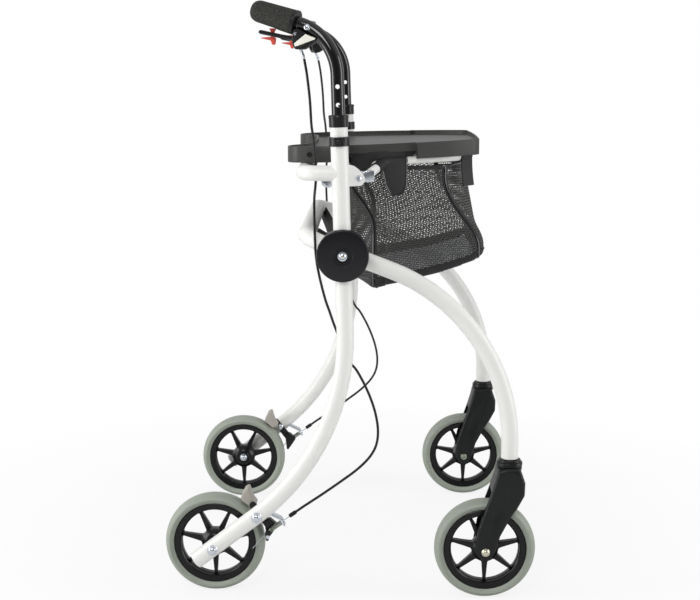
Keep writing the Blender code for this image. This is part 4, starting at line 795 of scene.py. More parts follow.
def build_wheel(end, word, centre):
    body = end + "_wheel_" + word
    piece(end + "_tyre_" + word, turned(tyre_profile(), centre, (0.0, 1.0, 0.0), 120), TYRE_RUBBER, body)
    piece(end + "_rim_" + word, rim_bm(centre), RIM_BLACK, body)


for word, side in SIDES:
    build_wheel("rear", word, Vector((REAR_AXLE.x, side * REAR_WHEEL_Y, REAR_AXLE.z)))
    build_wheel("front", word, joint_point("front_wheel_" + word + "_spin"))

# %% [markdown]
# ## Rear axles
# The axle passes through the leg and ends in a domed nut on a washer, outside the leg and inside the hub.
# Only these ends and a short shank show.


# %% Build the rear axles
def build_rear_axle(word, side):
    centre = Vector((REAR_AXLE.x, 0.0, REAR_AXLE.z))
    axis = Vector((0.0, side, 0.0))
    outer = bolt_head(centre + axis * (LEG_Y + TUBE_R), axis, 0.0080, 0.0056, 0.0058)
    inner = bolt_head(centre + axis * (REAR_WHEEL_Y - HUB_HALF + 0.0008), -axis, 0.0066, 0.0048, 0.0052)
    shank = rod(centre + axis * (REAR_WHEEL_Y - HUB_HALF), centre + axis * (LEG_Y - TUBE_R), 0.0045, 24)
    piece("rear_axle_" + word, together(outer, inner, shank), ZINC, "rear_frame")


on_both_sides(build_rear_axle)

# %% [markdown]
# ## Front forks
# The fork is one moulding: a ringed cap on the caster stem, shoulders, and two arms that reach back to the
# axle. It is cut from an outline as thick as the whole fork, its edges are rounded first, and the slot for
# the wheel is carved out last, so that the slot keeps crisp edges. A flattened ball carves the shallow oval
# on each arm. The axle ends in a yellow nut outboard and a plain head inboard.

# %% Build the forks
FORK_OUT = 0.0245
FORK_IN = 0.0173
FORK_CAP_R = 0.019
FORK_OUTLINE = [(0.2430, 0.2020), (0.2545, 0.1990), (0.2610, 0.1800), (0.2605, 0.1610), (0.2500, 0.1410),
                (0.2410, 0.1280), (0.2260, 0.0990), (0.2200, 0.0780), (0.2150, 0.0650), (0.2066, 0.0600),
                (0.2007, 0.0600), (0.1940, 0.0680), (0.1890, 0.0820), (0.1940, 0.1120), (0.2040, 0.1420),
                (0.2106, 0.1605), (0.2180, 0.1850), (0.2210, 0.1990), (0.2330, 0.2020)]
WHEEL_SLOT = [(0.150, 0.040), (0.290, 0.040), (0.290, 0.158), (0.262, 0.166), (0.215, 0.166), (0.150, 0.150)]
FORK_SHIFT = 0.003


def ball(centre, sizes, tilt):
    """A ball stretched to three half sizes and tilted about Y."""
    bm = bmesh.new()
    bmesh.ops.create_uvsphere(bm, u_segments=32, v_segments=20, radius=1.0)
    bmesh.ops.scale(bm, verts=bm.verts, vec=sizes)
    bmesh.ops.rotate(bm, verts=bm.verts, cent=(0.0, 0.0, 0.0), matrix=Matrix.Rotation(tilt, 3, "Y"))
    bmesh.ops.translate(bm, verts=bm.verts, vec=centre)
    return bm


def build_fork(word, side):
    y = joint_point("caster_" + word + "_swivel").y
    axle = joint_point("front_wheel_" + word + "_spin")

    def place(u, v, w):
        return Vector((u - FORK_SHIFT, y + w, v))
    outline = rounded(FORK_OUTLINE, [0.006] * len(FORK_OUTLINE), step=math.radians(8.0))
    body = plate(outline, place, -FORK_OUT, FORK_OUT, 0.0052, 5)
    cutters = [plate(rounded(WHEEL_SLOT, [0.0, 0.0, 0.006, 0.006, 0.006, 0.0]), place, -FORK_IN, FORK_IN)]
    for way in (-1.0, 1.0):
        centre = Vector((0.2205, y + way * (FORK_OUT + 0.0036), 0.1400))
        cutters.append(ball(centre, (0.0125, 0.0054, 0.0300), math.radians(20.0)))
    body = carve(body, cutters)
    cap = [(0.0, 0.1935), (0.0150, 0.1935), (0.0182, 0.1955), (0.0186, 0.2000), (0.0172, 0.2008),
           (0.0172, 0.2022), (FORK_CAP_R, 0.2030), (FORK_CAP_R, 0.2068), (0.0184, 0.2078), (0.0168, 0.2082),
           (0.0168, 0.2092), (0.0160, 0.2112), (0.0148, 0.2115), (0.0, 0.2115)]
    cap = turned(cap, (CASTER.x, y, 0.0), (0.0, 0.0, 1.0), 64)
    piece("fork_" + word, together(body, cap), FORK_BLACK, "caster_" + word)
    outboard = Vector((axle.x, y + side * (FORK_OUT - 0.0002), axle.z))
    ends = [bolt_head(outboard, (0.0, side, 0.0), 0.0062, 0.0045, 0.0040)]
    for way in (-1.0, 1.0):
        ends.append(turned([(0.0, 0.0), (0.0060, 0.0), (0.0060, 0.0024), (0.0, 0.0024)],
                           (axle.x, y + way * HUB_HALF, axle.z), (0.0, way, 0.0), 32))
    piece("front_axle_" + word, together(*ends), YELLOW_ZINC, "caster_" + word)
    head = turned([(0.0, 0.0), (0.0058, 0.0), (0.0058, 0.0018), (0.0048, 0.0030), (0.0026, 0.0030),
                   (0.0020, 0.0012), (0.0, 0.0012)],
                  (axle.x, y - side * (FORK_OUT - 0.0002), axle.z), (0.0, -side, 0.0), 32)
    piece("front_axle_head_" + word, head, SPRING_STEEL, "caster_" + word)
    stem = turned([(0.0, 0.180), (0.0075, 0.180), (0.0082, 0.184), (0.0082, 0.188), (0.0, 0.188)],
                  (CASTER.x, y, 0.0), (0.0, 0.0, 1.0), 32)
    piece("caster_stem_" + word, stem, ZINC, "caster_" + word)


on_both_sides(build_fork)

# %% [markdown]
# ## Handles
# The handle is a thinner, glossy black tube that slides in the upright. It has a row of see-through holes
# for the height setting, bends back over the tray and ends in the grip. The bend is an arc between the
# upright's axis and the grip's axis, and the five holes are carved through both walls.

# %% The line of the handle
HANDLE_R = 0.0095
HANDLE_LOW_Z = 0.578
HANDLE_CORNER_Z = 0.82285
HANDLE_BEND_R = 0.076
GRIP_YAW = math.radians(18.0)
GRIP_RISE = math.radians(16.2)
GRIP_AHEAD = 0.0599
PIN_Z = LEG_TOP_Z - 0.0325
HOLE_PITCH = 0.0254
HOLE_R = 0.0032
HOLES = (-3, -2, 0, 2, 3)
BOLT_TURN = math.radians(61.0)


def grip_plane(side, h, z, out=0.0):
    """A point in the plane of the grip: how far back from the handle's corner, above it and outboard."""
    base = upright(side, HANDLE_CORNER_Z)
    x = base.x - h * math.cos(GRIP_YAW) - out * math.sin(GRIP_YAW)
    y = base.y - side * h * math.sin(GRIP_YAW) + side * out * math.cos(GRIP_YAW)
    return Vector((x, y, HANDLE_CORNER_Z + z))


def handle_bend(side):
    """Where the bend starts, the way it curls, how far it turns and the way it ends."""
    back = Vector((-math.cos(GRIP_YAW), -side * math.sin(GRIP_YAW), 0.0))
    last = back * math.cos(GRIP_RISE) + Vector((0.0, 0.0, math.sin(GRIP_RISE)))
    turn = LEAN_AXIS.angle(last)
    normal = (last - LEAN_AXIS * last.dot(LEAN_AXIS)).normalized()
    start = upright(side, HANDLE_CORNER_Z) - LEAN_AXIS * (HANDLE_BEND_R * math.tan(turn / 2.0))
    return start, normal, turn, last


print("the handle bends through", round(math.degrees(handle_bend(1.0)[2]), 1), "degrees")

# %% Build the handle tubes and grips
def build_handle(word, side):
    start, normal, turn, last = handle_bend(side)
    bend = arc(start, LEAN_AXIS, normal, HANDLE_BEND_R, turn, 28)
    front = upright(side, HANDLE_CORNER_Z) + last * GRIP_AHEAD
    line = [upright(side, HANDLE_LOW_Z), start] + bend + [front + last * 0.03]
    spots = [upright(side, PIN_Z) + LEAN_AXIS * (HOLE_PITCH * k) for k in HOLES]
    through = Vector((0.0, 0.02, 0.0))
    bars = [rod(spot - through, spot + through, HOLE_R, 28) for spot in spots]
    body = "handle_" + word
    piece("handle_tube_" + word, carve(tube(line, HANDLE_R, 40), bars), BLACK_PAINT, body)
    profile = [(0.0098, 0.0052), (0.0166, 0.0052), (0.0168, 0.0060)]
    profile += [(0.0168 - 0.0013 * k / 8, 0.0060 + 0.0510 * k / 8) for k in range(1, 9)]
    for k in range(1, 13):
        a = math.pi / 2.0 * k / 12
        profile.append((0.0155 * math.cos(a) ** 0.62, 0.0570 + 0.0140 * math.sin(a)))
    grip = piece("grip_" + word, turned(profile, front, last, 56), FOAM, body)
    ring = [(0.0097, 0.0), (0.0163, 0.0), (0.0172, 0.0008), (0.0172, 0.0044), (0.0166, 0.0052),
            (0.0097, 0.0052)]
    piece("grip_ring_" + word, turned(ring, front, last, 56), SATIN_BLACK, body)


on_both_sides(build_handle)

# %% [markdown]
# ## Collars, button bands and height buttons
# A collar closes the mouth of the upright and guides the handle. Below it, a band round the upright carries
# the spring button that locks the height. A small eased plate is fused to the turned band as its pad, and
# the hole for the button and a fine groove on each side of it are carved out of both.

# %% Build collars, bands and buttons
COLLAR_ABOVE = 0.0045
COLLAR_TALL = 0.0169
BAND_HALF = 0.0065
KNOB_R = 0.0036
KNOB_IN = 0.0162
KNOB_OUT = 0.0178


def build_top(word, side):
    base = upright(side, 0.0)
    tilt = 1.0 / math.cos(LEAN)
    low = LEG_TOP_Z + COLLAR_ABOVE - COLLAR_TALL
    top = LEG_TOP_Z + COLLAR_ABOVE
    profile = [(TUBE_R + 0.0001, low), (0.0134, low), (0.0138, low + 0.0005), (0.0139, top - 0.0048),
               (0.0143, top - 0.0042), (0.0143, top - 0.0012), (0.0138, top - 0.0004), (0.0128, top),
               (HANDLE_R + 0.0002, top), (HANDLE_R + 0.0002, top - 0.004)]
    collar = turned([(r, z * tilt) for r, z in profile], base, LEAN_AXIS, 56)
    piece("collar_" + word, collar, SATIN_BLACK, "rear_frame")
    spot = upright(side, PIN_Z)
    profile = [(TUBE_R + 0.0001, -BAND_HALF), (0.0141, -BAND_HALF), (0.0145, -BAND_HALF + 0.0006),
               (0.0145, BAND_HALF - 0.0006), (0.0141, BAND_HALF), (TUBE_R + 0.0001, BAND_HALF)]
    band = turned(profile, spot, LEAN_AXIS, 56)

    def place(u, v, w):
        return spot + Vector((u, side * w, 0.0)) + LEAN_AXIS * v
    pad = [(-0.0058, -0.0058), (0.0058, -0.0058), (0.0058, 0.0058), (-0.0058, 0.0058)]
    pad = plate(rounded(pad, [0.0020] * 4), place, 0.0112, 0.0172, 0.0006)
    band = carve(band, [pad], "UNION")
    cutters = [rod(place(0.0, 0.0, 0.0120), place(0.0, 0.0, 0.030), 0.0042, 32)]
    for u in (-0.0072, 0.0072):
        groove = [(u - 0.0003, -0.0050), (u + 0.0003, -0.0050), (u + 0.0003, 0.0050), (u - 0.0003, 0.0050)]
        cutters.append(plate(groove, place, 0.0100, 0.0200))
    piece("button_band_" + word, carve(band, cutters), SATIN_BLACK, "rear_frame")
    knob = [(0.0, KNOB_IN), (KNOB_R, KNOB_IN), (KNOB_R, KNOB_OUT)]
    for k in range(1, 8):
        a = math.pi / 2.0 * k / 7
        knob.append((KNOB_R * math.cos(a), KNOB_OUT + 0.0014 * math.sin(a)))
    name = "height_button_" + word
    piece(name, turned(knob, spot, (0.0, side, 0.0), 32), SATIN_BLACK, name)


on_both_sides(build_top)

# %% [markdown]
# ## Brake brackets
# Under the bend of each handle a moulded bracket holds the lever, with a bolt through the tube and a ribbed
# silver adjuster for the cable. A flat cream plate on its outboard side is painted light: it paints the
# lamp's reflection in the bracket's glossy black face. The bracket is cut from its outline, and the
# handle's groove and the lever's slot are carved out of it.

# %% Sizes of the bracket and lever
BRACKET_HALF = 0.0125
LEVER_HALF = 0.005
SLOT_HALF = 0.0058
LEVER_PIN = (0.0556, 0.0015)
BARREL_TOP = (0.0518, -0.0168)
BARREL_LOW = (0.0471, -0.0303)
BARREL_OUT = 0.003
BRACKET = [(0.0612, -0.0028), (0.0612, -0.0118), (0.0570, -0.0200), (0.0490, -0.0200), (0.0250, -0.0063),
           (0.0225, -0.0018), (0.0300, 0.0072), (0.0440, 0.0132), (0.0575, 0.0077)]
PAINTED_REFLECTION_OUTLINE = [(0.0578, -0.0120), (0.0405, 0.0010), (0.0250, -0.0050), (0.0272, -0.0066), (0.0560, -0.0164)]
CHEEK = [(0.0300, 0.0022), (0.0330, 0.0152), (0.0400, 0.0172), (0.0470, 0.0142), (0.0480, 0.0062)]
SLOT = [(0.070, 0.0022), (0.0560, 0.0096), (0.0480, 0.0062), (0.0465, -0.0148), (0.0530, -0.0173),
        (0.070, -0.0128)]


def barrel_line(side):
    """Where the cable's adjuster starts, and the way and the length that it runs."""
    top = grip_plane(side, *BARREL_TOP, BARREL_OUT)
    return top, grip_plane(side, *BARREL_LOW, BARREL_OUT) - top


print("the cable's adjuster is", round(barrel_line(1.0)[1].length, 4), "long")

# %% Build the brackets
def build_bracket(word, side):
    body = "handle_" + word
    place = partial(grip_plane, side)
    start, normal, turn, last = handle_bend(side)
    path = [start - LEAN_AXIS * 0.02, start] + arc(start, LEAN_AXIS, normal, HANDLE_BEND_R, turn, 20)
    path.append(path[-1] + last * 0.03)
    block = plate(rounded(BRACKET, [0.004] * len(BRACKET)), place, -BRACKET_HALF, BRACKET_HALF, 0.0016, 3)
    middle = (HANDLE_BEND_R, -HANDLE_BEND_R * math.tan(turn / 2.0))
    under = HANDLE_BEND_R - HANDLE_R + 0.0012
    above = [(middle[0] + under * math.cos(math.radians(a)), middle[1] + under * math.sin(math.radians(a)))
             for a in range(176, 106, -5)]
    above = [(-0.02, middle[1])] + above + [(0.09, 0.0195), (0.09, 0.06), (-0.02, 0.06)]
    block = carve(block, [tube(path, HANDLE_R + GAP, 36), plate(SLOT, place, -SLOT_HALF, SLOT_HALF),
                          plate(above, place, 0.0020, 0.0300)])
    cheek = plate(rounded(CHEEK, [0.002] * 5), place, -BRACKET_HALF, -HANDLE_R - 2.0 * GAP, 0.0008)
    piece("brake_bracket_" + word, together(block, cheek), SATIN_BLACK, body)
    # This cream plate is a painted reflection of the lamp in the bracket's glossy black outboard face.
    reflection_plate = plate(rounded(PAINTED_REFLECTION_OUTLINE, [0.0006] * 5), place, BRACKET_HALF - 0.0006, BRACKET_HALF + 0.0006,
                  0.0003, 2)
    piece("bracket_painted_reflection_" + word, reflection_plate, PAINTED_REFLECTION_PLATE, body)
    out = (place(0.0, 0.0, 1.0) - place(0.0, 0.0, 0.0)).normalized()
    bolt = start + LEAN_AXIS * (HANDLE_BEND_R * math.sin(BOLT_TURN))
    bolt += normal * (HANDLE_BEND_R * (1.0 - math.cos(BOLT_TURN)))
    head = bolt_head(bolt + out * HANDLE_R, out, 0.0050, 0.0040, 0.0042)
    top, along = barrel_line(side)
    ribs = [(0.0, 0.0), (0.0031, 0.0)]
    for k in range(5):
        ribs += [(0.0031, 0.0009 * k + 0.0003), (0.0026, 0.0009 * k + 0.0006)]
    ribs += [(0.0025, 0.0050), (0.0022, 0.0055), (0.0022, 0.0100), (0.0025, 0.0103), (0.0025, 0.0140),
             (0.0021, 0.0146), (0.0018, 0.0165), (0.0, 0.0165)]
    barrel = turned(ribs, top, along, 32)
    piece("bracket_metal_" + word, together(head, barrel), ZINC, body)
    pins = [turned([(0.0, 0.0), (0.0022, 0.0), (0.0020, 0.0008), (0.0, 0.0012)],
                   place(*LEVER_PIN, way * (BRACKET_HALF + 0.0006)), out * way, 24) for way in (-1.0, 1.0)]
    piece("lever_pin_" + word, together(*pins), ZINC, body)


on_both_sides(build_bracket)

# %% [markdown]
# ## Brake levers and parking locks
# The lever is a bent bar with full round edges, hung under the grip. A red tab beside it locks the brake
# for parking: a triangle above the lever and a hook below it.

# %% Build the levers and locks
LOCK_THICK = 0.0046
LOCK = [(0.0925, 0.0096), (0.0958, 0.0034), (0.0950, -0.0023), (0.0930, -0.0048), (0.0940, -0.0118),
        (0.0960, -0.0134), (0.0985, -0.0126), (0.1000, -0.0072), (0.1150, -0.0042), (0.1150, -0.0030),
        (0.1000, -0.0020), (0.0990, 0.0034), (0.1025, 0.0098)]
LOCK_RADII = [0.0006, 0.002, 0.001, 0.001, 0.002, 0.001, 0.001, 0.002, 0.0006, 0.0006, 0.001, 0.001, 0.0006]


def build_lever(word, side):
    place = partial(grip_plane, side)
    h, z = LEVER_PIN
    outline = [(h - 0.0040, z + 0.0008), (h - 0.0018, z + 0.0033), (h + 0.0016, z + 0.0033),
               (h + 0.0038, z + 0.0008), (h + 0.0050, z - 0.0034), (0.0800, 0.0010), (0.1120, 0.0075),
               (0.1148, 0.0064), (0.1150, 0.0034), (0.1125, 0.0017), (0.0800, -0.0048), (0.0600, -0.0088),
               (h - 0.0010, -0.0078), (h - 0.0048, z - 0.0050)]
    radii = [0.003, 0.003, 0.003, 0.003, 0.004, 0.030, 0.002, 0.002, 0.002, 0.002, 0.030, 0.010, 0.004, 0.004]
    lever = plate(rounded(outline, radii), place, -LEVER_HALF, LEVER_HALF, 0.0029, 5)
    piece("brake_lever_" + word, lever, BLACK_PAINT, "brake_lever_" + word)
    near = -LEVER_HALF - GAP
    lock = plate(rounded(LOCK, LOCK_RADII), place, near - LOCK_THICK, near, 0.0005)
    piece("parking_lock_" + word, lock, RED_PLASTIC, "parking_lock_" + word)


on_both_sides(build_lever)

# %% [markdown]
# ## Tray
# The tray is a shallow moulding with a wide lobe at each rear corner, a low wall and a cut-out on each side
# for the basket's cloth. Its outline is given as corners with a radius each, generous where the edge flows
# and tiny where it steps. The pocket and the hollow underside are carved with the same outline, drawn in by
# the wall, and the pocket's cutter has eased edges, which leaves the soft fillet at the foot of the wall.
# Four small pads under the tray rest on the loop.

# %% Build the tray
LOOP_R = 0.0065
LOOP_FRONT = 0.1760
TRAY_WALL = 0.0025
TRAY_FLOOR = 0.0075
TRAY_SHALLOW = 0.0125
TRAY_CUT = (-0.001, 0.097)
PAD_SPOTS = ((0.100, 0.1690), (0.150, 0.1440))
PAD_HALF = (0.005, 0.009)
STUD = (-0.0580, 0.2085, 0.6540)
TRAY_HALF = [(-0.0560, 0.0), (-0.0580, 0.0700), (-0.0600, 0.1100), (-0.0680, 0.1380), (-0.0850, 0.1520),
             (-0.0920, 0.1680), (-0.0900, 0.1860), (-0.0800, 0.2000), (-0.0550, 0.2105), (-0.0300, 0.2150),
             (-0.0040, 0.2155), (0.0, 0.2060), (0.0480, 0.2005), (0.0960, 0.1830), (0.0990, 0.1905),
             (0.1520, 0.1650), (0.1860, 0.1440), (0.1930, 0.1330), (0.1950, 0.0700), (0.1960, 0.0)]
TRAY_RADII = [0.3, 0.3, 0.2, 0.05, 0.03, 0.025, 0.025, 0.03, 0.08, 0.1, 0.0012, 0.0012, 0.2, 0.0012,
              0.0012, 0.2, 0.012, 0.012, 0.3, 0.3]


def both_halves(half):
    """A closed outline from its right half, the rear middle first."""
    return [(x, -y) for x, y in half] + [(x, y) for x, y in half[-2:0:-1]]


def drawn_in(corners, by):
    """The corners of a line that runs inside another at an even distance."""
    points = [Vector(c) for c in corners]
    result = []
    for i, here in enumerate(points):
        before = (here - points[i - 1]).normalized()
        after = (points[(i + 1) % len(points)] - here).normalized()
        out_a = Vector((before.y, -before.x))
        out_b = Vector((after.y, -after.x))
        result.append(here - (out_a + out_b) * (by / (1.0 + out_a.dot(out_b))))
    return result


def tray_place(u, v, w):
    """A point of the tray's plan at a height from its sloping top."""
    return Vector((u, v, TRAY_TOP_Z + TRAY_RISE * u + w))


def loop_height(x):
    """The support loop rises forward as much as the tray."""
    return 0.6420 + TRAY_RISE * x


def build_tray():
    corners = both_halves(TRAY_HALF)
    radii = TRAY_RADII + TRAY_RADII[-2:0:-1]
    inside = rounded(drawn_in(corners, TRAY_WALL), radii, step=math.radians(6.0))
    body = plate(rounded(corners, radii, step=math.radians(6.0)), tray_place, -TRAY_DEEP, 0.0, 0.0009, 2)
    pocket = plate(inside, tray_place, -TRAY_FLOOR, 0.03, 0.0024, 3)
    hollow = plate(inside, tray_place, -0.05, -TRAY_FLOOR - TRAY_WALL)
    cutters = [pocket, hollow]
    for side in (-1.0, 1.0):
        notch = [(TRAY_CUT[0], side * 0.15), (TRAY_CUT[1], side * 0.15), (TRAY_CUT[1], side * 0.24),
                 (TRAY_CUT[0], side * 0.24)]
        cutters.append(plate(notch, tray_place, -0.06, -TRAY_SHALLOW))
    body = carve(body, cutters)
    pads = []
    wide, deep = PAD_HALF
    for x, y in PAD_SPOTS:
        for side in (-1.0, 1.0):
            low = loop_height(x) + LOOP_R + GAP
            high = TRAY_TOP_Z + TRAY_RISE * x - TRAY_FLOOR - 0.001
            shape = [(x - wide, low), (x + wide, low), (x + wide, high), (x - wide, high)]
            pads.append(plate(shape, lambda u, v, w, s=side, c=y: Vector((u, s * (c + w), v)),
                              -deep, deep, 0.0008))
    piece("tray", together(body, *pads), TRAY_BLACK, "tray")


def build_stud(word, side):
    x, y, z = STUD
    dome = turned([(0.0, -0.002), (0.0036, -0.002), (0.0036, 0.0022), (0.0028, 0.0030), (0.0018, 0.0030),
                   (0.0014, 0.0022), (0.0, 0.0022)], (x, side * y, z), (-0.25, side, 0.0), 28)
    piece("tray_stud_" + word, dome, SATIN_BLACK, "tray")


build_tray()
on_both_sides(build_stud)

# %% [markdown]
# ## Support loop
# A thin white tube loops round under the tray and carries the basket. It starts at a flat zinc link on the
# screw through each gusset. The line through its corners is rounded once, and the tube is swept along it.

# %% Build the loop, its links and screws
LINK = [(0.0135, -0.0054), (0.0222, -0.0050), (0.0226, 0.0100), (0.0120, 0.0110)]
LINK_EYE_R = 0.0062
LINK_OUT = LEG_Y - GUSSET_HALF - GAP
LINK_IN = LINK_OUT - 0.0120


def loop_line():
    """The axis of the whole loop, from the left screw round the front to the right one."""
    half = []
    for x, y, z in ((-0.0060, LEG_Y - 0.0075, -0.0010), (0.0125, LEG_Y - 0.0130, 0.0033),
                    (0.0265, LEG_Y - 0.0440, 0.0113)):
        half.append(Vector((SCREW.x + x, y, SCREW.z + z)))
    for x, y in ((0.0500, 0.1930), (0.0980, 0.1720), (0.1500, 0.1465), (LOOP_FRONT, 0.1200)):
        half.append(Vector((x, y, loop_height(x))))
    mirror = Vector((1.0, -1.0, 1.0))
    corners = [p * mirror for p in half] + half[::-1]
    radii = [0.0, 0.020, 0.020, 0.03, 0.3, 0.2, 0.022, 0.022, 0.2, 0.3, 0.03, 0.020, 0.020, 0.0]
    return rounded(corners, radii, closed=False, step=math.radians(5.0))


def build_loop():
    box = [(-0.0155, -0.0117), (0.0060, -0.0117), (0.0060, 0.0103), (-0.0155, 0.0103)]
    boxes = [plate(box, side_plane(side, SCREW.x, SCREW.z), LEG_Y - 0.019, LEG_Y + 0.005)
             for side in (-1.0, 1.0)]
    piece("support_loop", carve(tube(loop_line(), LOOP_R, 32), boxes), WHITE_PAINT, "basket_frame")


def build_link(word, side):
    place = side_plane(side, SCREW.x, SCREW.z)
    turns = [math.radians(70.0 + 11.0 * k) for k in range(21)]
    eye = [(LINK_EYE_R * math.cos(a), LINK_EYE_R * math.sin(a)) for a in turns]
    piece("loop_link_" + word, plate(eye + LINK, place, LINK_IN, LINK_OUT, 0.0006), ZINC, "basket_frame")
    face = place(0.0, 0.0, LEG_Y + GUSSET_HALF)
    out = Vector((0.0, side, 0.0))
    head = turned([(0.0, 0.0), (0.0046, 0.0), (0.0046, 0.0010), (0.0040, 0.0020), (0.0024, 0.0031),
                   (0.0, 0.0032)], face, out, 32)
    socket = rod(face + out * 0.0014, face + out * 0.006, 0.0019, 6)
    nut = turned([(0.0, 0.0), (0.0045, 0.0), (0.0042, 0.0022), (0.0, 0.0028)], place(0.0, 0.0, LINK_IN),
                 -out, 6)
    piece("support_screw_" + word, together(carve(head, [socket]), nut), ZINC, "rear_frame")


build_loop()
on_both_sides(build_link)

# %% [markdown]
# ## Basket cloth
# The basket is sewn from an open knit that one can see through, so a painted pattern wouldn't do: its holes
# have to be holes. A grid is turned into a brick pattern by dissolving every other upright edge, each cell
# is inset and its middle removed, and what stays is yarn, which is laid on the basket's wall and gets a
# thickness. The wall is a surface that gives a point for a share along a panel and a share up it.

# %% A surface for the basket's wall
BASKET_TOP_Z = 0.634
BASKET_FLOOR_Z = 0.455
BASKET_FLOOR_RISE = 0.20
FINE = 16


def basket_half(t):
    """Right half of the basket's plan at a height: t is 0 at the floor and 1 at the rim."""
    rear = 0.0255 - 0.047 * smooth(t, 0.50, 1.05)
    wide = 0.190 - 0.006 * (1.0 - t)
    corner_x = 0.1985 - 0.052 * smooth(t, 0.12, 0.90)
    corner_y = 0.148 + 0.006 * t
    front = 0.2052 - 0.0320 * t
    sag = max(0.0, 1.0 - t / 0.20)
    slack = min(rear - 0.004, -0.008 + 0.028 * sag * sag)
    return [(slack, 0.0), (slack + 0.003, 0.100), (rear + 0.002, wide - 0.020), (rear + 0.010, wide - 0.006),
            (rear + 0.026, wide), (0.068, wide - 0.006 - 0.0060 * t), (corner_x - 0.022, corner_y + 0.008),
            (corner_x - 0.006, corner_y), (corner_x + 0.003, corner_y - 0.014), (front - 0.002, 0.080),
            (front, 0.0)]


def floor_height(x):
    """The foot of the basket rises forward, a little faster towards the front."""
    return BASKET_FLOOR_Z + BASKET_FLOOR_RISE * (x - 0.045) + max(0.0, x - 0.100) ** 2


def smooth_ring(corners):
    """A closed flowing line, with the same count of points from each corner to the next."""
    points = [Vector(c) for c in corners]
    count = len(points)
    ring = []
    for i in range(count):
        p0, p1, p2, p3 = [points[(i + j) % count] for j in (-1, 0, 1, 2)]
        ring += [flow(p0, p1, p2, p3, k / FINE) for k in range(FINE)]
    return ring


def evenly(points, count):
    """The same line with points at an even spacing."""
    walked = walked_along(points)
    result = []
    i = 0
    for k in range(count + 1):
        want = walked[-1] * k / count
        while i < len(points) - 2 and walked[i + 1] < want:
            i += 1
        span = max(walked[i + 1] - walked[i], 1e-9)
        result.append(points[i].lerp(points[i + 1], min(1.0, max(0.0, (want - walked[i]) / span))))
    return result


def wall_patch(first, last, count=90, levels=20):
    """A panel between two corners of the plan, as a function of the share along it, up it and the way out."""
    rows = []
    for level in range(levels + 1):
        t = level / levels
        ring = smooth_ring(both_halves(basket_half(t)))
        ring = evenly((ring + ring)[FINE * first:FINE * last + 1], count)
        row = []
        for spot in ring:
            low = floor_height(spot.x)
            row.append(Vector((spot.x, spot.y, low + (BASKET_TOP_Z - low) * t)))
        rows.append(row)

    def place(s, t, out=0.0):
        a = min(max(s, 0.0), 0.99999) * count
        b = min(max(t, 0.0), 0.99999) * levels
        i, j = int(a), int(b)
        low = rows[j][i].lerp(rows[j][i + 1], a - i)
        high = rows[j + 1][i].lerp(rows[j + 1][i + 1], a - i)
        along = rows[j][i + 1] - rows[j][i]
        return low.lerp(high, b - j) + Vector((along.y, -along.x, 0.0)).normalized() * out
    return place


def span(place, t):
    """How long a panel is at a height."""
    return walked_along([place(k / 60, t) for k in range(61)])[-1]


print("the basket's floor rises by", round(floor_height(0.20) - floor_height(0.0), 4), "to the front")

# %% Cloth and net
def cloth(width, height, columns, rows, place, thick):
    """A woven strip: a grid of the flat cloth, with its UV map in metres, laid on a surface."""
    bm = bmesh.new()
    bmesh.ops.create_grid(bm, x_segments=columns, y_segments=rows, size=0.5)
    lay(bm, width, height, place)
    bm.normal_update()
    ways = {tuple(round(c, 7) for c in v.co): v.normal.copy() for v in bm.verts}
    grown = bmesh.ops.extrude_face_region(bm, geom=bm.faces[:], use_keep_orig=True)
    for vert in grown["geom"]:
        if isinstance(vert, bmesh.types.BMVert):
            vert.co -= ways[tuple(round(c, 7) for c in vert.co)] * thick
    return bm


def lay(bm, width, height, place):
    """Keep the flat place of each corner as its UV, then move it onto the surface."""
    uv = bm.loops.layers.uv.new("cloth")
    for face in bm.faces:
        for corner in face.loops:
            corner[uv].uv = ((corner.vert.co.x + 0.5) * width, (corner.vert.co.y + 0.5) * height)
    for vert in bm.verts:
        vert.co = place(vert.co.x + 0.5, vert.co.y + 0.5)
    bmesh.ops.recalc_face_normals(bm, faces=bm.faces)


def net(width, height, cell, row, yarn, thick, place, keep=None):
    """An open knit: six-sided holes in staggered rows, with yarn between them."""
    columns = 2 * round(width / cell)
    rows = round(height / row)
    bm = bmesh.new()
    bmesh.ops.create_grid(bm, x_segments=columns, y_segments=rows, size=0.5)
    spare = []
    for edge in bm.edges:
        a, b = edge.verts
        if len(edge.link_faces) == 2 and abs(a.co.x - b.co.x) < 1e-6:
            i = round((a.co.x + 0.5) * columns)
            j = round((min(a.co.y, b.co.y) + 0.5) * rows)
            if (i + j) % 2:
                spare.append(edge)
    bmesh.ops.dissolve_edges(bm, edges=spare, use_verts=False)
    for vert in bm.verts:
        i = round((vert.co.x + 0.5) * columns)
        j = round((vert.co.y + 0.5) * rows)
        if 0 < j < rows:
            vert.co.y += (0.14 if (i + j) % 2 else -0.14) / rows
    if keep:
        away = [f for f in bm.faces if not keep(*(f.calc_center_median().xy + Vector((0.5, 0.5))))]
        bmesh.ops.delete(bm, geom=away, context="FACES")
    bmesh.ops.scale(bm, verts=bm.verts, vec=(width, height, 1.0))
    cells = bm.faces[:]
    bmesh.ops.inset_individual(bm, faces=cells, thickness=yarn / 2.0, use_even_offset=True)
    bmesh.ops.delete(bm, geom=cells, context="FACES")
    bmesh.ops.scale(bm, verts=bm.verts, vec=(1.0 / width, 1.0 / height, 1.0))
    lay(bm, width, height, place)
    bmesh.ops.solidify(bm, geom=bm.faces[:], thickness=thick)
    return bm
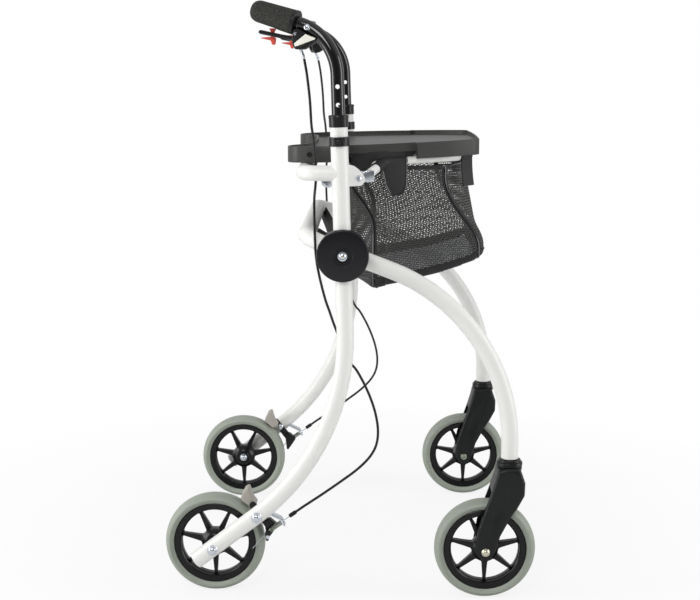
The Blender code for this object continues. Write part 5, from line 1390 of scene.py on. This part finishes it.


# %% [markdown]
# ## Basket panels
# Four net panels meet at the corners of the basket, where a folded tape binds them and a glossy piping runs
# down the seam. A wide hem closes the foot and turns in under the floor, which is a finer net, and a rim
# tape closes the top. The floor's yarn is lighter and bluer than the walls' yarn: its colour paints the
# sheen of the light from above. Each panel's net has its own cell and slant. The hem is drawn as a section
# from its upper edge, over the foot of the wall, to its inner edge.

# %% Build the panels and tapes
HEM_SHARE = 0.065
RIM_SHARE = 0.980
HEM = [(0.085, 0.0, 0.0), (0.050, 0.0, -0.0003), (0.028, 0.0, -0.0016), (0.011, 0.0, -0.0042),
       (0.002, 0.0003, -0.0085), (0.0, 0.0004, -0.0150)]
SIDE_KNIT = (0.0056, 0.0034, 0.0015)
END_KNIT = (0.0062, 0.0038, 0.0015)
SLANT = {"right": 0.34, "left": 0.34, "front": 0.14, "rear": -0.14}
YARN_THICK = 0.0006
TAPE_WIDE = 0.0045
PANELS = {"right": (3, 7), "front": (7, 13), "left": (13, 17), "rear": (17, 23)}


def build_panel(word, first, last):
    place = wall_patch(first, last)
    low, tall = HEM_SHARE, RIM_SHARE - HEM_SHARE
    long = (span(place, 0.1) + span(place, 0.9)) / 2.0
    high = (place(0.5, 1.0) - place(0.5, 0.0)).length * tall
    knit = SIDE_KNIT if word in ("right", "left") else END_KNIT
    lean = abs(SLANT[word])

    def slanting(s, t):
        return t * (1.0 + lean) - lean * (s if SLANT[word] > 0.0 else 1.0 - s)

    def on_wall(s, t):
        return place(s, low + tall * slanting(s, t), -YARN_THICK / 2.0)

    def within(s, t):
        return -0.005 < slanting(s, t) < 1.005

    def hem(s, t):
        a = min(t, 0.9999) * (len(HEM) - 1)
        i = int(a)
        share, lift, out = [p + (q - p) * (a - i) for p, q in zip(HEM[i], HEM[i + 1])]
        return place(s, share, out + 0.0003) + Vector((0.0, 0.0, lift))
    yarn = net(long, high * (1.0 + lean), *knit, YARN_THICK, on_wall, within)
    panel = piece("basket_net_" + word, yarn, YARN, "basket_frame", crease=60.0)
    strips = [cloth(long, 0.004, 90, 3, lambda s, t: place(s, 0.975 + 0.025 * t, 0.0003), 0.0012)]
    strips.append(cloth(long, 0.030, 90, 15, hem, 0.0014))
    for start, way in ((0.0, 1.0), (1.0, -1.0)):
        strips.append(cloth(TAPE_WIDE, high, 2, 40, lambda s, t, a=start, b=way * TAPE_WIDE: place(
            a + b / long * s, low + tall * t, 0.0004), 0.0012))
    piece("basket_tape_" + word, together(*strips), TAPE, "basket_frame")
    return place


# %% Build the basket's floor
FLOOR_MID_X = 0.112
FLOOR_HALF = (0.106, 0.192)
FLOOR_KNIT = (0.0036, 0.0062, 0.0008)


def build_floor_net():
    outline = smooth_ring(both_halves(basket_half(0.0)))
    x_half, y_half = FLOOR_HALF

    def inside(s, t):
        """Whether a point of the flat cloth lies within the foot of the walls."""
        x, y = FLOOR_MID_X + (s * 2.0 - 1.0) * x_half, (t * 2.0 - 1.0) * y_half
        hits = 0
        for a, b in zip(outline, outline[1:] + outline[:1]):
            if (a.y > y) != (b.y > y) and x < a.x + (y - a.y) / (b.y - a.y) * (b.x - a.x):
                hits += 1
        near = min((Vector((x, y)) - a).length for a in outline)
        return hits % 2 == 1 and near > 0.006

    def place(s, t):
        x = FLOOR_MID_X + (s * 2.0 - 1.0) * x_half
        return Vector((x, (t * 2.0 - 1.0) * y_half, floor_height(x) + 0.0016))
    yarn = net(2.0 * x_half, 2.0 * y_half, *FLOOR_KNIT, YARN_THICK, place, inside)
    # The lighter, bluer yarn of the floor is a painted sheen of the light from above.
    floor = piece("basket_net_floor", yarn, FLOOR_YARN_PAINTED_SHEEN, "basket_frame", crease=60.0)


walls = {word: build_panel(word, *ends) for word, ends in PANELS.items()}
build_floor_net()


# %% Build the piping
def build_piping():
    runs = []
    for word in ("right", "left"):
        for share in (0.0, 1.0):
            seam = [walls[word](share, 0.02 + 0.98 * k / 40, 0.0010) for k in range(41)]
            runs.append(tube(seam, 0.0013, 10))
    above = Vector((0.0, 0.0, 0.0006))
    rim = [walls[word](k / 60, 0.999, 0.0006) + above for word in PANELS for k in range(60)]
    runs.append(tube(rim, 0.0014, 10, closed=True))
    foot = [walls[word](k / 60, 0.085, 0.0009) for word in PANELS for k in range(60)]
    runs.append(tube(foot, 0.0009, 8, closed=True))
    piece("basket_piping", together(*runs), BLACK_PAINT, "basket_frame", "basket")


build_piping()

# %% [markdown]
# ## Basket tabs
# Two tongues and two straps of cloth go over the loop and hold the basket's rim. Each is a sleeve round the
# tube and a hanging flap. The tongue narrows to a round end with a bound edge, and behind it a strip of
# cloth rises from the rim into the tray's cut-out. The front flap is square and flares a little, as stiff
# tape does.

# %% Build the tabs
SLEEVE_R = LOOP_R + 0.0019
TONGUE_SPOT = (0.068, 0.18513)
TONGUE_ALONG = (0.916, 0.401)
TONGUE_SPAN = (0.0385, 0.0840)
SHOULDER_START = 0.0020
SHOULDER_LONG = 0.0920
STRAP_CORNER = (0.1705, 0.1270, 0.647)
TAB_WIDE = 0.024
TAB_HIGH = 0.044
TAB_FLARE = 0.0045
TONGUE = [(-0.0340, 0.004), (0.0122, 0.004), (0.0128, -0.0137), (0.0122, -0.0360), (0.0060, -0.0496),
          (-0.0120, -0.0496), (-0.0205, -0.0340), (-0.0250, -0.0150)]
TONGUE_RADII = [0.001, 0.001, 0.050, 0.012, 0.010, 0.012, 0.030, 0.030]


def sleeve(centre, along, half):
    """A short cloth sleeve round the loop's tube."""
    inner = LOOP_R + 0.0001
    profile = [(inner, -half), (SLEEVE_R - 0.0004, -half), (SLEEVE_R, -half + 0.0008),
               (SLEEVE_R, half - 0.0008), (SLEEVE_R - 0.0004, half), (inner, half)]
    return turned(profile, centre, along, 36, closed=True)


def build_tongue(word, side):
    x, y = TONGUE_SPOT
    centre = Vector((x, side * y, loop_height(x)))
    x, y = TONGUE_ALONG
    along = Vector((x, -side * y, x * TRAY_RISE)).normalized()
    out = Vector((-along.y, along.x, 0.0)).normalized() * side

    def place(u, v, w):
        return centre + along * u + Vector((0.0, 0.0, v)) + out * (w + SLEEVE_R - 0.0014)
    outline = rounded(TONGUE, TONGUE_RADII, step=math.radians(8.0))
    flap = plate(outline, place, 0.0, 0.0016, 0.0004, 2)
    edge = tube([place(u, v, 0.0012) for u, v in outline], 0.0011, 10, closed=True)
    uv = flap.loops.layers.uv.new("cloth")
    for face in flap.faces:
        for corner in face.loops:
            offset = corner.vert.co - centre
            corner[uv].uv = (offset.dot(along), offset.z)
    line = loop_line()
    fine = [a.lerp(b, k / 12) for a, b in zip(line, line[1:]) for k in range(12)]
    covered = [p for p in fine if p.y * side > 0.0 and TONGUE_SPAN[0] < p.x < TONGUE_SPAN[1]]
    wide = tube(covered, SLEEVE_R, 28)

    def shoulder_place(s, t):
        x = SHOULDER_START + SHOULDER_LONG * s
        low = 0.6320 + 0.0135 * smooth(x, 0.024, 0.038) + 0.006 * smooth(x, 0.074, 0.084)
        y = 0.2030 - 0.42 * max(0.0, x - 0.042)
        return Vector((x, side * y, low + (0.6560 + TRAY_RISE * x - low) * t))
    shoulder = cloth(SHOULDER_LONG, 0.018, 40, 6, shoulder_place, 0.0012)
    piece("basket_tongue_" + word, together(flap, wide, shoulder), TAPE, "basket_frame")
    piece("basket_tongue_edge_" + word, edge, BLACK_PAINT, "basket_frame")


def build_front_strap(word, side):
    line = loop_line()
    x, y, z = STRAP_CORNER
    corner = Vector((x, side * y, z))
    k = min(range(len(line)), key=lambda i: (line[i] - corner).length)
    front = line[k]
    bar = (line[k + 1] - line[k - 1]).normalized()
    away = Vector((abs(bar.y), side * abs(bar.x), 0.0)).normalized()

    def flare(s, t):
        drop = 1.0 - t
        out = away * (SLEEVE_R - 0.0010 + TAB_FLARE * drop * drop)
        return front + bar * ((s - 0.5) * TAB_WIDE) + out - Vector((0.0, 0.0, TAB_HIGH * drop))
    strap = cloth(TAB_WIDE, TAB_HIGH, 8, 14, flare, 0.0014)
    piece("basket_strap_" + word, together(strap, sleeve(front, bar, 0.0120)), TAPE, "basket_frame")


for word, side in SIDES:
    build_tongue(word, side)
    build_front_strap(word, side)

# %% [markdown]
# ## Pull strap
# A webbing strap hangs from the cross tube of the front frame, riveted to it at each end. Pulling it up
# folds the walker. It is laid as a slack band that sags forward between its rivets.

# %% Build the pull strap
STRAP_LONG = 0.312
STRAP_WIDE = 0.020
STRAP_SPAN = 0.300
RIVET_Y = 0.142


def build_strap():
    centre = Vector((PIVOT.x, 0.0, PIVOT.z)) - FRAME_ALONG * FRAME_BACK
    inner = TUBE_R + 0.0002

    def place(s, t):
        sag = 4.0 * s * (1.0 - s)
        lean = FRAME_UP * math.cos(0.5 * sag) + FRAME_ALONG * math.sin(0.5 * sag)
        middle = centre + FRAME_ALONG * (inner + 0.0010 + 0.028 * sag) - FRAME_UP * (0.016 * sag)
        return middle + lean * ((t - 0.5) * STRAP_WIDE) + Vector((0.0, (s - 0.5) * STRAP_SPAN, 0.0))
    band = cloth(STRAP_LONG, STRAP_WIDE, 80, 8, place, 0.0014)
    strap = piece("pull_strap", band, WEBBING, "front_frame")
    rivets = []
    for side in (-1.0, 1.0):
        spot = centre + FRAME_ALONG * inner + Vector((0.0, side * RIVET_Y, 0.0))
        rivets.append(turned([(0.0, 0.0), (0.0050, 0.0), (0.0050, 0.0022), (0.0042, 0.0032), (0.0, 0.0036)],
                             spot, FRAME_ALONG, 24))
    piece("strap_rivets", together(*rivets), SATIN_BLACK, "front_frame")


build_strap()

# %% [markdown]
# ## Brakes
# Each brake is a black bar on a bolt through the leg. Its upper end carries a hard grey shoe that presses
# on the tyre, and its lower end a block with a clamp for the wire. The shoe's working face is an arc about
# the wheel's axle, so it is drawn with that radius. A bent zinc plate on the leg stops the cable's sheath.

# %% Sizes of the brake
BRAKE_BOLT = 0.083
BAR_IN = 0.2362
BAR_OUT = 0.2402
SHOE_R = 0.0772
BLOCK = [(-0.1262, 0.1110), (-0.1183, 0.1154), (-0.1065, 0.1050), (-0.1160, 0.0905), (-0.1205, 0.0850),
         (-0.1252, 0.0990)]
CLAMP = [(-0.1165, 0.0945), (-0.1200, 0.0835), (-0.1238, 0.0835), (-0.1250, 0.0965), (-0.1205, 0.1000)]
STOP = [(-0.1195, 0.1285), (-0.1000, 0.1195), (-0.0945, 0.1085), (-0.0965, 0.1075), (-0.1022, 0.1172),
        (-0.1205, 0.1262)]
STOP_RADII = [0.0008, 0.0050, 0.0008, 0.0008, 0.0034, 0.0008]
SHOE_RADII = [0.0035, 0.0040, 0.0030, 0.0] + [0.0] * 5 + [0.0020, 0.0060, 0.0060]


def shoe_outline():
    """The brake shoe from the side, with its working face concentric with the wheel."""
    turns = [math.radians(a) for a in (57.0, 54.2, 51.5, 48.8, 46.0)]
    face = [(REAR_AXLE.x + SHOE_R * math.cos(a), REAR_AXLE.z + SHOE_R * math.sin(a)) for a in turns]
    back = [(-0.1495, 0.1610), (-0.1560, 0.1570), (-0.1620, 0.1450), (-0.1603, 0.1407)]
    return rounded(back + face + [(-0.1370, 0.1340), (-0.1440, 0.1430), (-0.1465, 0.1500)], SHOE_RADII)


print("the shoe stands", round(SHOE_R - WHEEL_R, 4), "off the tyre")

# %% Build the brakes

def build_brake(word, side):
    def on_leg(u, v, w):
        spot = leg_point(side, u, -v)
        return Vector((spot.x, side * w, spot.z))
    place = side_plane(side)
    arm = "brake_arm_" + word
    d = BRAKE_BOLT
    bar = [(d - 0.0052, 0.0175), (d + 0.0050, 0.0175), (d + 0.0062, -0.030), (d - 0.0062, -0.034)]
    bar = plate(rounded(bar, [0.005, 0.005, 0.0055, 0.0055]), on_leg, BAR_IN, BAR_OUT, 0.0008)
    block = plate(rounded(BLOCK, [0.003] * 6), place, 0.2300, 0.2415, 0.0012)
    clamp = plate(rounded(CLAMP, [0.0015] * 5), place, 0.2340, 0.2500, 0.0008)
    piece("brake_arm_" + word, together(bar, block, clamp), SATIN_BLACK, arm)
    screw = turned([(0.0, 0.0), (0.0030, 0.0), (0.0030, 0.0014), (0.0022, 0.0021), (0.0, 0.0024)],
                   place(-0.1208, 0.0900, 0.2500), (0.0, side, 0.0), 24)
    piece("clamp_screw_" + word, screw, ZINC, arm)
    piece("brake_shoe_" + word, plate(shoe_outline(), place, 0.2110, 0.2359, 0.0014), SHOE_RUBBER, arm)
    stop = plate(rounded(STOP, STOP_RADII), place, 0.240, 0.254, 0.0004, 2)
    piece("cable_stop_" + word, stop, ZINC, "rear_frame")
    outer = bolt_head(on_leg(d, 0.0, LEG_Y + TUBE_R), (0.0, side, 0.0), 0.0080, 0.0056, 0.0056)
    inner = bolt_head(on_leg(d, 0.0, BAR_IN), (0.0, -side, 0.0), 0.0060, 0.0050, 0.0046)
    spacer = rod(on_leg(d, 0.0, BAR_OUT), on_leg(d, 0.0, BAR_OUT + 0.0020), 0.0050, 24)
    piece("brake_bolt_" + word, together(outer, inner, spacer), ZINC, "rear_frame")


on_both_sides(build_brake)

# %% [markdown]
# ## Brake cables
# A black sheathed cable leaves each adjuster, runs down beside the upright, swings out in a bow behind the
# leg and ends at the stop plate. From there the bare wire goes on, through a small coil spring, to the
# clamp. The route is a list of given points, the same as the solid's.

# %% Build cables, wires and springs
CABLE_R = 0.0019
WIRE_R = 0.0007
CABLE_Y = 0.246
ROUTE = [(-0.0590, 0.2440, 0.7676), (-0.0553, 0.2405, 0.7328), (-0.0534, 0.2370, 0.6976),
         (-0.0505, 0.2325, 0.6764), (-0.0480, 0.2300, 0.6436), (-0.0480, 0.2300, 0.6165),
         (-0.0500, 0.2370, 0.5880), (-0.0487, 0.2460, 0.5346), (-0.0470, 0.2490, 0.5092),
         (-0.0430, 0.2480, 0.4845), (-0.0350, 0.2440, 0.4503), (-0.0282, 0.2400, 0.4291),
         (-0.0200, 0.2375, 0.4047), (-0.0009, 0.2370, 0.3580), (0.0108, 0.2375, 0.3420),
         (0.0224, 0.2385, 0.3210), (0.0322, 0.2400, 0.2985), (0.0392, 0.2425, 0.2760),
         (0.0425, 0.2450, 0.2530), (0.0402, 0.2465, 0.2321), (0.0310, 0.2470, 0.2140),
         (0.0130, 0.2470, 0.1950), (-0.0120, 0.2465, 0.1755), (-0.0410, 0.2460, 0.1545),
         (-0.0680, 0.2460, 0.1360), (-0.0825, 0.2460, 0.1255)]
SPRING_START = (-0.0995, 0.1125)
SPRING_END = (-0.1190, 0.0985)
SPRING_R = 0.0032
SPRING_LONG = 0.0215
CURLS = 11


def build_sheath(word, side):
    """The sheathed cable, with its route."""
    top, along = barrel_line(side)
    first = top + along + along.normalized() * 0.0028
    route = [first] + [Vector((x, side * y, z)) for x, y, z in ROUTE]
    sheath = piece("brake_cable_" + word, tube(flowing(route, 0.005), CABLE_R, 16), SHEATH, None)
    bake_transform(sheath)
    return route


def build_cable(word, side):
    route = build_sheath(word, side)
    hole = Vector((SPRING_START[0], side * CABLE_Y, SPRING_START[1]))
    aim = (Vector((SPRING_END[0], side * CABLE_Y, SPRING_END[1])) - hole).normalized()
    ferrule = turned([(0.0, -0.004), (0.0031, -0.004), (0.0031, 0.0066), (0.0026, 0.0072), (0.0, 0.0072)],
                     route[-1], route[-1] - route[-2], 24)
    piece("cable_ferrule_" + word, ferrule, SATIN_BLACK, "rear_frame")
    tail = hole + aim * 0.0236
    bends = [route[-1], hole, hole + aim * 0.012, tail, tail + Vector((-0.0110, 0.0, -0.0110)),
             tail + Vector((-0.0253, 0.0, -0.0280))]
    piece("brake_wire_" + word, tube(flowing(bends, 0.002), WIRE_R, 8), ZINC, "rear_frame")
    across = Vector((0.0, 1.0, 0.0))
    third = aim.cross(across)
    coil = []
    for k in range(CURLS * 20 + 1):
        a = 2.0 * math.pi * k / 20
        centre = hole + aim * (0.0012 + SPRING_LONG * k / (CURLS * 20))
        coil.append(centre + (across * math.cos(a) + third * math.sin(a)) * SPRING_R)
    piece("brake_spring_" + word, tube(coil, WIRE_R, 8), SPRING_STEEL, "rear_frame")


on_both_sides(build_cable)

# %% [markdown]
# ## Clip under the crossbar
# A small zinc clip is screwed under each end of the crossbar, next to the upright, and keeps the cable in
# its place.

# %% Build the clips
CLIP = [(-0.0400, 0.6190), (-0.0235, 0.6190), (-0.0225, 0.6140), (-0.0270, 0.6095), (-0.0345, 0.6100),
        (-0.0392, 0.6145)]
CLIP_RADII = [0.001, 0.001, 0.003, 0.003, 0.003, 0.003]
CLIP_IN = 0.2370
CLIP_OUT = 0.2470


def build_clip(word, side):
    place = side_plane(side)
    leaf = plate(rounded(CLIP, CLIP_RADII), place, CLIP_IN, CLIP_OUT, 0.0008)
    dot = turned([(0.0, 0.0), (0.0024, 0.0), (0.0020, 0.0012), (0.0, 0.0014)],
                 place(-0.0310, 0.6130, CLIP_OUT), (0.0, side, 0.0), 20)
    piece("cable_clip_" + word, together(leaf, dot), ZINC, "rear_frame")


on_both_sides(build_clip)
